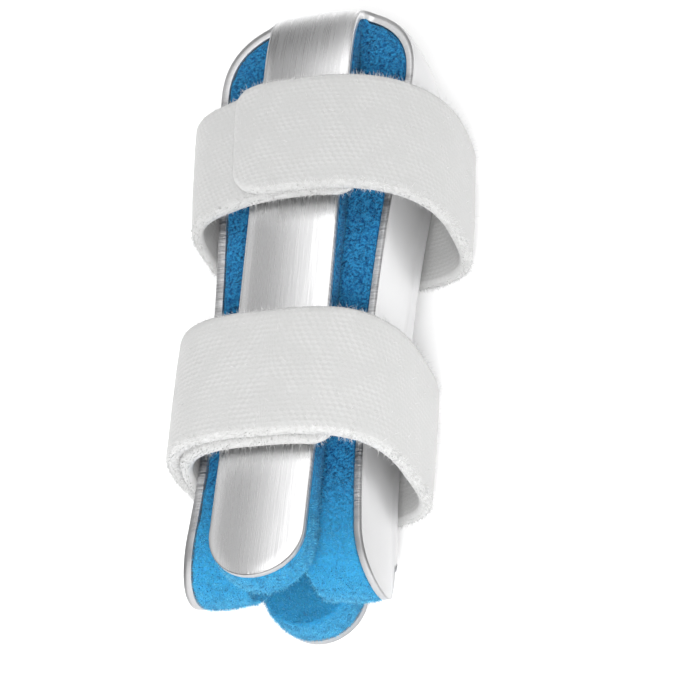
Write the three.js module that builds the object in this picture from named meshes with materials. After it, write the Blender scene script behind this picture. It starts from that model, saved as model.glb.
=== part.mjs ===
// Finger splint lying on its back: a stamped aluminium plate lined with foam, held by two straps.
// Millimetres. X runs across, Y runs towards the folded fingertip end, Z points up.
import * as THREE from 'three';

// Overall sizes.
const SPLINT_LENGTH = 99.6;
const CUP_HALF_WIDTH = 16;
const CUP_DEPTH = 14.3;
const CUP_FULLNESS = 2.3;
const WING_HEIGHT = 22.2;
const WALL_BULGE = 0.8;
const WING_TIP_INSET = 2;
const BACK_TIP_INSET = 1;

// The sheet and its lining.
const PLATE_THICKNESS = 1.3;
const FOAM_THICKNESS = 6;
const FOAM_SWELL = 2;
const STRIP_FOAM_THICKNESS = 3.1;
const PLATE_CORNER_RADIUS = 7;
const FOAM_CREASE_RADIUS = 1;
const NOTCH_ARCH = 1.5;

// The strip that folds over the fingertip.
const STRIP_WIDTH = 14;
const STRIP_CROWN = 0.5;
const FOLD_RADIUS = 8;
const FOAM_FOLD_RADIUS = 0.3;
const ROOT_FILLET = 2.4;
const FLAT_SHARE = 0.6;

// The straps.
const STRAP_WIDTH = 20;
const STRAP_THICKNESS = 1.8;
const STRAP_EDGE_ROUND = 0.5;
const STRAP_SPACING = 40.7;
const STRAP_MIDDLE = 0.35;
const UPPER_STAND_OFF = 3.2;
const LOWER_STAND_OFF = 2.6;
const UPPER_SHIFT = 0.3;
const LOWER_SHIFT = 0.1;
const UPPER_TAPER = 1.4;
const LOWER_TAPER = 0;
const STRAP_SLACK = 0.25;
const STRAP_END_ROUND = 7;

// Clearance between separate pieces.
const PART_GAP = 0.3;

// Half-width of the trough: along runs from the wing tips to the cup, spread is a share of the cup.
const TROUGH_STATIONS = [
  { along: 0, spread: 0.872 },
  { along: 0.089, spread: 0.828 },
  { along: 0.202, spread: 0.79 },
  { along: 0.334, spread: 0.781 },
  { along: 0.454, spread: 0.794 },
  { along: 0.574, spread: 0.82 },
  { along: 0.701, spread: 0.862 },
  { along: 0.814, spread: 0.919 },
  { along: 0.946, spread: 0.985 },
  { along: 1, spread: 1 },
];

// Rise of the front strip over its lowest level: along runs from the strip's tip to the fold.
const STRIP_RISE = [
  { along: 0, rise: 2.1 },
  { along: 0.21, rise: 1.1 },
  { along: 0.35, rise: 0.35 },
  { along: 0.49, rise: 0 },
  { along: 0.63, rise: 0.05 },
  { along: 0.77, rise: 0.25 },
  { along: 0.9, rise: 0.1 },
  { along: 1, rise: 0 },
];

// Turns in degrees from the top of a strap, clockwise seen from the open end.
// Depth is how many strap layers the wound strap lies inside its ring; below zero it lies outside.
const UPPER_WINDING = [
  { turn: -28, depth: 0 },
  { turn: 292, depth: 0 },
  { turn: 330, depth: 1 },
  { turn: 388, depth: 1 },
];
const LOWER_WINDING = [
  { turn: -105, depth: 0 },
  { turn: 210, depth: 0 },
  { turn: 252, depth: 1 },
  { turn: 395, depth: 1 },
];
const UPPER_TOP_FULLNESS = 2.4;
const LOWER_TOP_FULLNESS = 3;
const RING_BOTTOM_FULLNESS = 3.8;
const RING_WAIST = 0.46;
const REST_FLATNESS = 0.3;

// Mesh counts.
const WALL_SHARES = [0, 0.1, 0.25, 0.5, 0.75, 1];
const CORNER_STEPS = 5;
const BACK_STEPS = 3;
const CUP_STEPS = 6;
const FILLET_STEPS = 3;
const FOLD_STEPS = 6;
const FRONT_STEPS = 12;
const ROUND_STEPS = 6;
const STRAP_STEPS = 72;
const STRAP_END_STEPS = 5;
const WELD = 1e-4;

// Levels and positions that follow from the sizes.
const backLevel = STRAP_THICKNESS + PART_GAP;
const rimLevel = backLevel + WING_HEIGHT;
const wallFoot = backLevel + PLATE_CORNER_RADIUS;
const underStrip = rimLevel + PART_GAP;
const stripLevel = underStrip + STRIP_FOAM_THICKNESS + PART_GAP + PLATE_THICKNESS;
const foldEnd = SPLINT_LENGTH / 2;
const stripTip = -SPLINT_LENGTH / 2;
const cupCentre = foldEnd - CUP_DEPTH;
const stripHalf = STRIP_WIDTH / 2;
const wingTip = stripTip + WING_TIP_INSET;
const wingRound = (rimLevel - wallFoot) / 2;
const wingRoundCentre = wingTip + wingRound;
const backRoundCentre = stripTip + BACK_TIP_INSET + stripHalf;
const rootHalf = stripHalf + ROOT_FILLET;
const stripShares = [1, FLAT_SHARE, FLAT_SHARE / 2, 0];
const stripSteps = stripShares.length - 1;
const cupPower = 2 / CUP_FULLNESS;
const rootAngle = angleAcross(1);
const wallSteps = WALL_SHARES.length - 1;
const columnCount = wallSteps + CORNER_STEPS + BACK_STEPS;

const metalLayer = (offset) => ({
  offset,
  corner: PLATE_CORNER_RADIUS - offset,
  fold: FOLD_RADIUS - offset,
  foldTop: stripLevel - offset,
  swell: 0,
  follows: true,
});
const plateOuter = metalLayer(0);
const plateInner = metalLayer(PLATE_THICKNESS);
const foamOuter = metalLayer(PLATE_THICKNESS + PART_GAP);
const foamInner = {
  offset: PLATE_THICKNESS + PART_GAP + FOAM_THICKNESS,
  corner: FOAM_CREASE_RADIUS,
  fold: FOAM_FOLD_RADIUS,
  foldTop: underStrip,
  swell: FOAM_SWELL,
  follows: false,
};

/** Angle round the cup at a share of the strip root's half-width. */
function angleAcross(share) {
  return Math.acos((rootHalf * share / CUP_HALF_WIDTH) ** (1 / cupPower));
}

const smooth = (value) => THREE.MathUtils.smoothstep(value, 0, 1);

/** Reads a value from a table, by straight lines or by smooth steps between its rows. */
function tableValue(table, key, value, place, eased = false) {
  let index = 1;
  while (index < table.length - 1 && table[index][key] < place) {
    index += 1;
  }
  const low = table[index - 1];
  const high = table[index];
  const share = THREE.MathUtils.clamp((place - low[key]) / (high[key] - low[key]), 0, 1);
  return THREE.MathUtils.lerp(low[value], high[value], eased ? smooth(share) : share);
}

/** Half-width of a layer of the trough at a place along it. */
function troughHalf(layer, y) {
  const along = (y - wingTip) / (cupCentre - wingTip);
  const free = 1 - smooth((y - wingRoundCentre) / (2 * wingRound));
  return CUP_HALF_WIDTH * tableValue(TROUGH_STATIONS, 'along', 'spread', along)
    - layer.offset - layer.swell * free;
}

/** Outward bulge of the wings at a height. */
function bulgeAt(z) {
  const share = THREE.MathUtils.clamp((z - wallFoot) / (rimLevel - wallFoot), 0, 1);
  return WALL_BULGE * Math.sin(Math.PI * share);
}

/** How far the end wall leans in at a height to meet the fold. */
function leanAt(layer, z) {
  const rise = Math.max(0, z - (layer.foldTop - layer.fold));
  return layer.fold - Math.sqrt(Math.max(0, layer.fold ** 2 - rise ** 2));
}

/** Place on a profile from the rim down to the middle of the back: inward distance and height. */
function profileAt(layer, column, reach) {
  const foot = backLevel + layer.offset + layer.corner;
  if (column <= wallSteps) {
    return { inward: 0, z: THREE.MathUtils.lerp(rimLevel, foot, WALL_SHARES[column]), arc: 0 };
  }
  const arc = (column - wallSteps) / CORNER_STEPS;
  if (arc <= 1) {
    const angle = arc * Math.PI / 2;
    const inward = layer.corner * (1 - Math.cos(angle));
    return { inward, z: foot - layer.corner * Math.sin(angle), arc };
  }
  const share = (column - wallSteps - CORNER_STEPS) / BACK_STEPS;
  return { inward: THREE.MathUtils.lerp(layer.corner, reach, share), z: foot - layer.corner, arc: 0 };
}

/** Point of the straight trough; its first row carries the arch of the notch. */
function troughPoint(layer, y, column, isFirst) {
  const half = troughHalf(layer, y);
  const spot = profileAt(layer, column, half);
  const arch = isFirst ? NOTCH_ARCH * Math.sqrt(1 - (2 * spot.arc - 1) ** 2) : 0;
  const isBack = column === columnCount;
  const x = isBack ? 0 : half - spot.inward + bulgeAt(spot.z);
  return new THREE.Vector3(x, y + arch, spot.z);
}

/** How far the end wall stands back behind its middle, at a share of the strip root's half-width. */
function rootDrop(layer, share) {
  if (share <= FLAT_SHARE) {
    return STRIP_CROWN * (share / FLAT_SHARE) ** 2;
  }
  const shoulder = (CUP_DEPTH - layer.offset) * (1 - Math.sin(rootAngle) ** cupPower);
  return THREE.MathUtils.lerp(STRIP_CROWN, shoulder, (share - FLAT_SHARE) / (1 - FLAT_SHARE));
}

/** Point of the rounded cup; every profile runs to the cup's centre. */
function cupPoint(layer, angle, column) {
  const acrossHalf = CUP_HALF_WIDTH - layer.offset;
  const alongHalf = CUP_DEPTH - layer.offset;
  const across = acrossHalf * Math.cos(angle) ** cupPower;
  const plan = new THREE.Vector2(across, alongHalf * Math.sin(angle) ** cupPower);
  if (angle > rootAngle) {
    plan.y = alongHalf - rootDrop(layer, (Math.cos(angle) / Math.cos(rootAngle)) ** cupPower);
  }
  const reach = plan.length();
  const spot = profileAt(layer, column, reach);
  const towardsFold = smooth(angle / rootAngle);
  const outward = bulgeAt(spot.z) * (1 - towardsFold) - leanAt(layer, spot.z) * towardsFold;
  plan.multiplyScalar((reach - spot.inward + outward) / reach);
  if (column === columnCount) {
    plan.set(0, 0);
  }
  return new THREE.Vector3(plan.x, cupCentre + plan.y, spot.z);
}

/** Point of a wing's rounded end. */
function wingEndPoint(layer, angle, column) {
  const y = wingRoundCentre - wingRound * Math.sin(angle);
  const start = profileAt(layer, column, 0).z;
  const middle = (rimLevel + profileAt(layer, wallSteps, 0).z) / 2;
  const z = middle + (start - middle) * Math.cos(angle);
  return new THREE.Vector3(troughHalf(layer, y) + bulgeAt(z), y, z);
}

/** Point of the back's rounded end; row 0 is the edge it shares with the trough. */
function backEndPoint(layer, row, column) {
  if (row === 0) {
    return troughPoint(layer, wingRoundCentre, column, true);
  }
  const angle = (row - 1) / ROUND_STEPS * Math.PI / 2;
  const share = 1 - (column - wallSteps - CORNER_STEPS) / BACK_STEPS;
  const y = backRoundCentre - stripHalf * Math.sin(angle);
  return new THREE.Vector3(stripHalf * Math.cos(angle) * share, y, backLevel + layer.offset);
}

/** Height of a layer of the front strip. */
function frontHeight(layer, y) {
  if (!layer.follows) {
    return layer.foldTop;
  }
  const along = (y - stripTip) / (foldEnd - FOLD_RADIUS - stripTip);
  return layer.foldTop + tableValue(STRIP_RISE, 'along', 'rise', along);
}

/** Point of the strip: up from the end wall, over the fold and along the front to its round tip. */
function stripPoint(layer, row, share) {
  if (row === 0) {
    return cupPoint(layer, angleAcross(share), 0);
  }
  const centreY = foldEnd - layer.offset - layer.fold;
  const centreZ = layer.foldTop - layer.fold;
  const startAngle = Math.asin((rimLevel - centreZ) / layer.fold);
  const filletShare = ROOT_FILLET / (FOLD_RADIUS * (Math.PI / 2 - Math.asin((rimLevel - stripLevel
    + FOLD_RADIUS) / FOLD_RADIUS)));
  const bendRows = FILLET_STEPS + FOLD_STEPS;
  const crown = layer.follows ? STRIP_CROWN : 0;
  if (row <= bendRows) {
    const inFillet = Math.min(row / FILLET_STEPS, 1);
    const inFold = Math.max((row - FILLET_STEPS) / FOLD_STEPS, 0);
    const bend = THREE.MathUtils.lerp(filletShare * inFillet, 1, inFold);
    const angle = THREE.MathUtils.lerp(startAngle, Math.PI / 2, bend);
    const rootWidth = rootHalf * (CUP_HALF_WIDTH - layer.offset) / CUP_HALF_WIDTH;
    const flare = 1 - Math.sqrt(1 - (1 - inFillet) ** 2);
    const half = THREE.MathUtils.lerp(stripHalf, rootWidth, flare);
    const drop = THREE.MathUtils.lerp(crown * share ** 2, rootDrop(layer, share), flare);
    const lean = layer.follows ? bend * Math.PI / 2 : 0;
    const y = centreY + layer.fold * Math.cos(angle) - drop * Math.cos(lean);
    const z = centreZ + layer.fold * Math.sin(angle) - drop * Math.sin(lean);
    return new THREE.Vector3(half * share, y, z);
  }
  const tipCentre = stripTip + stripHalf;
  const along = Math.min((row - bendRows) / FRONT_STEPS, 1);
  const angle = Math.max((row - bendRows - FRONT_STEPS) / ROUND_STEPS, 0) * Math.PI / 2;
  const y = THREE.MathUtils.lerp(centreY, tipCentre, along) - stripHalf * Math.sin(angle);
  const x = stripHalf * Math.cos(angle) * share;
  return new THREE.Vector3(x, y, frontHeight(layer, y) - crown * (x / stripHalf) ** 2);
}

/** Adds a grid of quads to a sheet; point gives the place of a row and column on a layer. */
function addGrid(sheet, rows, columns, point, mirrored, backwards = false) {
  const first = sheet.points.length;
  const side = mirrored ? -1 : 1;
  const flipped = mirrored !== backwards;
  for (let row = 0; row <= rows; row += 1) {
    for (let column = 0; column <= columns; column += 1) {
      sheet.points.push((layer) => {
        const spot = point(layer, row, column);
        spot.x *= side;
        return spot;
      });
    }
  }
  for (let row = 0; row < rows; row += 1) {
    for (let column = 0; column < columns; column += 1) {
      const a = first + row * (columns + 1) + column;
      const b = a + 1;
      const c = b + columns + 1;
      const d = a + columns + 1;
      sheet.triangles.push(...(flipped ? [[a, c, b], [a, d, c]] : [[a, b, c], [a, c, d]]));
    }
  }
}

/** The grid of the whole sheet, right and left halves. */
function splintSheet() {
  const sheet = { points: [], triangles: [] };
  const rows = TROUGH_STATIONS.slice(1).map(
    ({ along }) => THREE.MathUtils.lerp(wingTip, cupCentre, along));
  rows[0] = wingRoundCentre;
  const angles = [];
  for (let step = 0; step <= CUP_STEPS; step += 1) {
    angles.push(rootAngle * step / CUP_STEPS);
  }
  angles.push(...stripShares.slice(1).map(angleAcross));
  const stripRows = FILLET_STEPS + FOLD_STEPS + FRONT_STEPS + ROUND_STEPS;
  const backStart = wallSteps + CORNER_STEPS;
  for (const mirrored of [false, true]) {
    addGrid(sheet, rows.length - 1, columnCount,
      (layer, row, column) => troughPoint(layer, rows[row], column, row === 0), mirrored);
    addGrid(sheet, angles.length - 1, columnCount,
      (layer, row, column) => cupPoint(layer, angles[row], column), mirrored);
    addGrid(sheet, ROUND_STEPS, wallSteps,
      (layer, row, column) => wingEndPoint(layer, row / ROUND_STEPS * Math.PI / 2, column),
      mirrored, true);
    addGrid(sheet, ROUND_STEPS + 1, BACK_STEPS,
      (layer, row, column) => backEndPoint(layer, row, column + backStart), mirrored, true);
    addGrid(sheet, stripRows, stripSteps,
      (layer, row, column) => stripPoint(layer, row, stripShares[column]), mirrored);
  }
  return sheet;
}

/** Geometry of a closed body from its points and triangles. */
function bodyGeometry(points, triangles) {
  const geometry = new THREE.BufferGeometry();
  const flat = points.flatMap((point) => [point.x, point.y, point.z]);
  geometry.setAttribute('position', new THREE.Float32BufferAttribute(flat, 3));
  geometry.setIndex(triangles.flat());
  geometry.computeVertexNormals();
  return geometry;
}

/** Closed body between two layers of a sheet. */
function layeredBody(sheet, outer, inner) {
  const outerPoints = sheet.points.map((point) => point(outer));
  const places = new Map();
  const welded = outerPoints.map((point, index) => {
    const key = point.toArray().map((value) => Math.round(value / WELD)).join(' ');
    if (!places.has(key)) {
      places.set(key, index);
    }
    return places.get(key);
  });
  const kept = [...new Set(welded)];
  const order = new Map(kept.map((index, place) => [index, place]));
  const faces = sheet.triangles
    .map((triangle) => triangle.map((index) => order.get(welded[index])))
    .filter(([a, b, c]) => a !== b && b !== c && c !== a);
  const points = [
    ...kept.map((index) => outerPoints[index]),
    ...kept.map((index) => sheet.points[index](inner)),
  ];
  const edges = new Set(faces.flatMap(([a, b, c]) => [`${a} ${b}`, `${b} ${c}`, `${c} ${a}`]));
  const body = [];
  for (const [a, b, c] of faces) {
    body.push([a, b, c], [a + kept.length, c + kept.length, b + kept.length]);
    for (const [from, to] of [[a, b], [b, c], [c, a]]) {
      if (!edges.has(`${to} ${from}`)) {
        body.push([from, from + kept.length, to + kept.length], [from, to + kept.length, to]);
      }
    }
  }
  return bodyGeometry(points, body);
}

/** Point of a strap's ring at a turn from its top, a distance inside it and a place across it. */
function ringPoint(ring, turn, inset, side = 0) {
  const ringHalf = ring.half - ring.taper * (1 / 2 - side / STRAP_WIDTH);
  const angle = THREE.MathUtils.degToRad(turn);
  const across = Math.sin(angle);
  const upward = Math.cos(angle);
  const isTop = upward >= 0;
  const power = 2 / (isTop ? ring.fullness : RING_BOTTOM_FULLNESS);
  const waist = RING_WAIST * ring.height;
  const x = Math.sign(across) * (ringHalf - inset) * Math.abs(across) ** power;
  const reach = isTop ? ring.height - waist - inset : waist + REST_FLATNESS - inset;
  const z = waist + Math.sign(upward) * reach * Math.abs(upward) ** power;
  return new THREE.Vector2(x + ring.shift, isTop ? z : Math.max(z, inset));
}

/** Distances from a strap's free end at which its sections stand, close together at the ends. */
function strapDistances(length) {
  const places = [];
  for (let step = 0; step < STRAP_END_STEPS; step += 1) {
    places.push(STRAP_END_ROUND * (1 - Math.cos(step / STRAP_END_STEPS * Math.PI / 2)));
  }
  const body = length - 2 * STRAP_END_ROUND;
  for (let step = 0; step <= STRAP_STEPS; step += 1) {
    places.push(STRAP_END_ROUND + body * step / STRAP_STEPS);
  }
  for (let step = STRAP_END_STEPS - 1; step >= 0; step -= 1) {
    places.push(length - STRAP_END_ROUND * (1 - Math.cos(step / STRAP_END_STEPS * Math.PI / 2)));
  }
  return places;
}

/** A strap wound once round the splint with its end lapped, as one closed body. */
function strapBody(ring, winding, middle) {
  const layerStep = STRAP_THICKNESS + PART_GAP;
  const firstTurn = winding[0].turn;
  const lastTurn = winding[winding.length - 1].turn;
  const insetAt = (turn) => layerStep * tableValue(winding, 'turn', 'depth', turn, true);
  const track = [{ turn: firstTurn, distance: 0 }];
  let before = ringPoint(ring, firstTurn, insetAt(firstTurn));
  for (let turn = firstTurn + 1; turn <= lastTurn; turn += 1) {
    const here = ringPoint(ring, turn, insetAt(turn));
    track.push({ turn, distance: track[track.length - 1].distance + here.distanceTo(before) });
    before = here;
  }
  const length = track[track.length - 1].distance;
  const flank = STRAP_WIDTH / 2;
  const points = [];
  const triangles = [];
  const distances = strapDistances(length);
  for (const distance of distances) {
    const turn = tableValue(track, 'distance', 'turn', distance);
    const toEnd = Math.min(distance, length - distance, STRAP_END_ROUND);
    const rounding = Math.sqrt(STRAP_END_ROUND ** 2 - (STRAP_END_ROUND - toEnd) ** 2);
    const half = flank - STRAP_END_ROUND + rounding;
    const section = [
      [half - STRAP_EDGE_ROUND, 0], [half, STRAP_EDGE_ROUND],
      [half, STRAP_THICKNESS - STRAP_EDGE_ROUND], [half - STRAP_EDGE_ROUND, STRAP_THICKNESS],
      [STRAP_EDGE_ROUND - half, STRAP_THICKNESS], [-half, STRAP_THICKNESS - STRAP_EDGE_ROUND],
      [-half, STRAP_EDGE_ROUND], [STRAP_EDGE_ROUND - half, 0],
    ];
    for (const [side, deep] of section) {
      const spot = ringPoint(ring, turn, insetAt(turn) + deep, side);
      points.push(new THREE.Vector3(spot.x, middle + side, spot.y));
    }
  }
  const corners = points.length / distances.length;
  for (let row = 0; row < distances.length - 1; row += 1) {
    for (let corner = 0; corner < corners; corner += 1) {
      const next = (corner + 1) % corners;
      const a = row * corners + corner;
      const b = row * corners + next;
      triangles.push([a, b + corners, b], [a, a + corners, b + corners]);
    }
  }
  const lastRow = points.length - corners;
  for (let corner = 1; corner < corners - 1; corner += 1) {
    triangles.push([0, corner, corner + 1], [lastRow, lastRow + corner + 1, lastRow + corner]);
  }
  return bodyGeometry(points, triangles);
}

/** Ring of a strap that clears the plate and the strip under it. */
function strapRing(middle, standOff, shift, taper, fullness) {
  const from = middle - STRAP_WIDTH / 2;
  let widest = 0;
  let highest = 0;
  for (let step = 0; step <= STRAP_STEPS; step += 1) {
    const y = from + STRAP_WIDTH * step / STRAP_STEPS;
    widest = Math.max(widest, troughHalf(plateOuter, y) + WALL_BULGE);
    highest = Math.max(highest, frontHeight(plateOuter, y));
  }
  return {
    half: widest + standOff + STRAP_THICKNESS,
    height: highest + 2 * (STRAP_THICKNESS + PART_GAP) + STRAP_SLACK,
    shift,
    taper,
    fullness,
  };
}

const aluminium = new THREE.MeshStandardMaterial({ color: 0xc9ccd0, roughness: 0.35, metalness: 1 });
const blueFoam = new THREE.MeshStandardMaterial({ color: 0x1c6fb8, roughness: 0.95, metalness: 0 });
const whiteStrap = new THREE.MeshStandardMaterial({ color: 0xe6e6e6, roughness: 0.9, metalness: 0 });

const sheet = splintSheet();
const upperMiddle = STRAP_MIDDLE + STRAP_SPACING / 2;
const lowerMiddle = STRAP_MIDDLE - STRAP_SPACING / 2;
const upperRing = strapRing(
  upperMiddle, UPPER_STAND_OFF, UPPER_SHIFT, UPPER_TAPER, UPPER_TOP_FULLNESS);
const lowerRing = strapRing(
  lowerMiddle, LOWER_STAND_OFF, LOWER_SHIFT, LOWER_TAPER, LOWER_TOP_FULLNESS);

const parts = [
  ['splint_plate', layeredBody(sheet, plateOuter, plateInner), aluminium],
  ['foam_lining', layeredBody(sheet, foamOuter, foamInner), blueFoam],
  ['upper_strap', strapBody(upperRing, UPPER_WINDING, upperMiddle), whiteStrap],
  ['lower_strap', strapBody(lowerRing, LOWER_WINDING, lowerMiddle), whiteStrap.clone()],
];

const splint = new THREE.Group();
splint.name = 'finger_splint';
for (const [name, geometry, material] of parts) {
  const mesh = new THREE.Mesh(geometry, material);
  mesh.name = name;
  splint.add(mesh);
}

// The origin stands under the middle of the whole splint.
const bounds = new THREE.Box3().setFromObject(splint);
const middlePoint = bounds.getCenter(new THREE.Vector3());
for (const mesh of splint.children) {
  mesh.geometry.translate(-middlePoint.x, -middlePoint.y, 0);
}

export default splint;
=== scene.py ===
"""Finger splint dressed for rendering: stamped aluminium, blue foam and two white straps.

Shapes are worked out in millimetres in the part's own frame and stored in metres.
X runs across, Y runs towards the folded fingertip end and Z points up.
"""

from __future__ import annotations

import bisect
import logging
import math
from dataclasses import dataclass, field
from enum import Enum
from functools import cached_property
from typing import Callable, NamedTuple, Sequence, Union

import bpy
import numpy as np
from mathutils import Matrix, Vector, kdtree, noise


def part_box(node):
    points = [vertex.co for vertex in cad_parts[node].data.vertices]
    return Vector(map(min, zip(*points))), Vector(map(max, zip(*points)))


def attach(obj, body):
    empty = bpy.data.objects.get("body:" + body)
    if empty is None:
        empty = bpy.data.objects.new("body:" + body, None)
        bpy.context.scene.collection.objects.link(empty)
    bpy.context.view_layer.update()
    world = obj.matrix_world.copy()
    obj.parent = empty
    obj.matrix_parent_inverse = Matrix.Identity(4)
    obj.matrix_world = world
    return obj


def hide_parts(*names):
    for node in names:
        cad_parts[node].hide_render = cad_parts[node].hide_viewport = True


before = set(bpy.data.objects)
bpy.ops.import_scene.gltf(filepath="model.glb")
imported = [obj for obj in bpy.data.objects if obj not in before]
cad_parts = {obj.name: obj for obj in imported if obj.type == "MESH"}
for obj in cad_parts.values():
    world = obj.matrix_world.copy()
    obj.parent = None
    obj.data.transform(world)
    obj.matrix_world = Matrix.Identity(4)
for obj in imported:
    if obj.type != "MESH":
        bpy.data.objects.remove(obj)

LOG = logging.getLogger("finger_splint")
MM = 0.001
QUARTER = math.pi / 2
CIRCLE = 2.0
WELD_STEPS = 2000
TINY = 1e-6
TIGHT_TURN = 12
FLOOR_DROP = -0.0002
BODY = "root"


def lerp(low: float, high: float, share: float) -> float:
    """Value between two others at a share of the way."""
    return low + (high - low) * share


def clamp(value: float, low: float = 0.0, high: float = 1.0) -> float:
    """Value held between two limits."""
    return min(max(value, low), high)


def smooth(value: float) -> float:
    """Smooth step from 0 to 1."""
    share = clamp(value)
    return share * share * (3 - 2 * share)


@dataclass(frozen=True)
class SizeTable:
    """A size given at a few places and read on a smooth curve between them."""

    places: tuple[float, ...]
    sizes: tuple[float, ...]

    def _slope(self, index: int) -> float:
        """Slope of the curve at a row of the table."""
        first, last = max(index - 1, 0), min(index + 1, len(self.places) - 1)
        return (self.sizes[last] - self.sizes[first]) / (self.places[last] - self.places[first])

    def at(self, place: float) -> float:
        """Size at a place.

        Args:
            place: Where to read the table, on the scale of its places.

        Returns:
            The size on a cubic curve through the rows.
        """
        index = int(clamp(bisect.bisect_right(self.places, place) - 1, 0, len(self.places) - 2))
        span = self.places[index + 1] - self.places[index]
        share = clamp((place - self.places[index]) / span)
        square, cube = share**2, share**3
        return (
            (2 * cube - 3 * square + 1) * self.sizes[index]
            + (cube - 2 * square + share) * span * self._slope(index)
            + (3 * square - 2 * cube) * self.sizes[index + 1]
            + (cube - square) * span * self._slope(index + 1)
        )


class Spot(NamedTuple):
    """A point of the sheet with its place on the flat blank."""

    x: float
    y: float
    z: float
    across: float
    along: float


class ProfileSpot(NamedTuple):
    """A place on the profile from a rim down to the middle of the back."""

    inward: float
    z: float
    arc: float
    developed: float


@dataclass(frozen=True)
class Layer:
    """One surface of the sheet or of its lining."""

    offset: float
    corner: float
    fold: float
    fold_top: float
    lead: float = 0.0
    swell: float = 0.0
    cup_swell: float = 0.0
    follows: bool = True


@dataclass(frozen=True)
class SheetForm:
    """Form of the stamped sheet: trough, rounded cup, folded strip and three round prongs.

    Every size is in millimetres. A fullness is the power of a superellipse, where 2 is round.
    The spread gives the trough's half-width as a share of the cup's, from the wings' tips to
    the cup, and the rise lifts the strip's front face from its tip to the fold.
    """

    length: float = 99.6
    cup_half_width: float = 16.0
    cup_depth: float = 14.3
    cup_fullness: float = 2.5
    wing_height: float = 22.2
    wall_bulge: float = 0.8
    bulge_foot: float = 0.3
    wing_tip_inset: float = 2.0
    back_tip_inset: float = 1.0
    thickness: float = 1.3
    foam_thickness: float = 6.0
    foam_swell: float = 2.0
    foam_cup_swell: float = 2.3
    foam_cup_start: float = 8.0
    strip_foam: float = 3.1
    corner_radius: float = 7.0
    foam_crease: float = 1.0
    notch_arch: float = 1.5
    strip_width: float = 14.0
    strip_crown: float = 0.5
    fold_radius: float = 8.0
    fold_lead: float = 8.0
    fold_fullness: float = 2.5
    foam_fold: float = 0.3
    root_fillet: float = 2.4
    flat_share: float = 0.6
    shoulder_blend: float = 0.12
    fold_crown: float = 0.2
    fold_crown_start: float = 0.1
    strap_thickness: float = 1.8
    part_gap: float = 0.3
    spread: SizeTable = SizeTable(
        (0, 0.089, 0.202, 0.334, 0.454, 0.574, 0.701, 0.814, 0.946, 1),
        (0.872, 0.828, 0.79, 0.781, 0.794, 0.82, 0.862, 0.919, 0.985, 1),
    )
    rise: SizeTable = SizeTable(
        (0, 0.21, 0.35, 0.49, 0.63, 0.77, 0.9, 1),
        (2.1, 1.1, 0.35, 0, 0.05, 0.25, 0.1, 0),
    )
    wall_steps: int = 24
    corner_steps: int = 9
    back_steps: int = 12
    trough_steps: int = 96
    cup_steps: int = 30
    root_steps: int = 14
    fillet_steps: int = 8
    fold_steps: int = 22
    front_steps: int = 104
    round_steps: int = 20

    @property
    def back_level(self) -> float:
        """Height of the back's outer face."""
        return self.strap_thickness + self.part_gap

    @property
    def rim_level(self) -> float:
        """Height of the wings' rims."""
        return self.back_level + self.wing_height

    @property
    def wall_foot(self) -> float:
        """Height at which the walls begin."""
        return self.back_level + self.corner_radius

    @property
    def under_strip(self) -> float:
        """Height of the underside of the strip's foam."""
        return self.rim_level + self.part_gap

    @property
    def strip_level(self) -> float:
        """Lowest height of the strip's front face."""
        return self.under_strip + self.strip_foam + self.part_gap + self.thickness

    @property
    def fold_end(self) -> float:
        """Y of the folded end."""
        return self.length / 2

    @property
    def strip_tip(self) -> float:
        """Y of the strip's tip."""
        return -self.length / 2

    @property
    def cup_centre(self) -> float:
        """Y of the cup's centre."""
        return self.fold_end - self.cup_depth

    @property
    def wing_tip(self) -> float:
        """Y of the wings' tips."""
        return self.strip_tip + self.wing_tip_inset

    @property
    def wing_round(self) -> float:
        """Radius of the wings' ends."""
        return (self.rim_level - self.wall_foot) / 2

    @property
    def wing_round_centre(self) -> float:
        """Y at which the wings' round ends begin."""
        return self.wing_tip + self.wing_round

    @property
    def strip_half(self) -> float:
        """Half of the strip's width."""
        return self.strip_width / 2

    @property
    def root_half(self) -> float:
        """Half of the strip's width at its root."""
        return self.strip_half + self.root_fillet

    @property
    def root_angle(self) -> float:
        """Angle round the cup at which the strip's root begins."""
        return self.angle_across(1)

    def angle_across(self, share: float) -> float:
        """Angle round the cup at a share of the strip root's half-width."""
        return math.acos((self.root_half * share / self.cup_half_width) ** (self.cup_fullness / 2))

    @property
    def columns(self) -> int:
        """Number of steps on the profile."""
        return self.wall_steps + self.corner_steps + self.back_steps

    def metal(self, offset: float) -> Layer:
        """Layer at a depth below the sheet's outer face."""
        return Layer(
            offset,
            self.corner_radius - offset,
            self.fold_radius - offset,
            self.strip_level - offset,
            self.fold_lead,
        )

    def foam_face(self) -> Layer:
        """The face of the lining that meets the finger."""
        return Layer(
            self.thickness + self.part_gap + self.foam_thickness,
            self.foam_crease,
            self.foam_fold,
            self.under_strip,
            swell=self.foam_swell,
            cup_swell=self.foam_cup_swell,
            follows=False,
        )

    def trough_half(self, layer: Layer, y: float) -> float:
        """Half-width of a layer of the trough.

        Args:
            layer: The layer.
            y: Place along the splint.

        Returns:
            The distance from the middle to the wall.
        """
        along = (y - self.wing_tip) / (self.cup_centre - self.wing_tip)
        free = 1 - smooth((y - self.wing_round_centre) / (2 * self.wing_round))
        return self.cup_half_width * self.spread.at(along) - layer.offset - layer.swell * free

    def bulge_at(self, z: float) -> float:
        """Outward bulge of the wings at a height."""
        share = clamp((z - self.wall_foot) / (self.rim_level - self.wall_foot))
        return self.wall_bulge * math.sin(math.pi * share) * smooth(share / self.bulge_foot)

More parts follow.
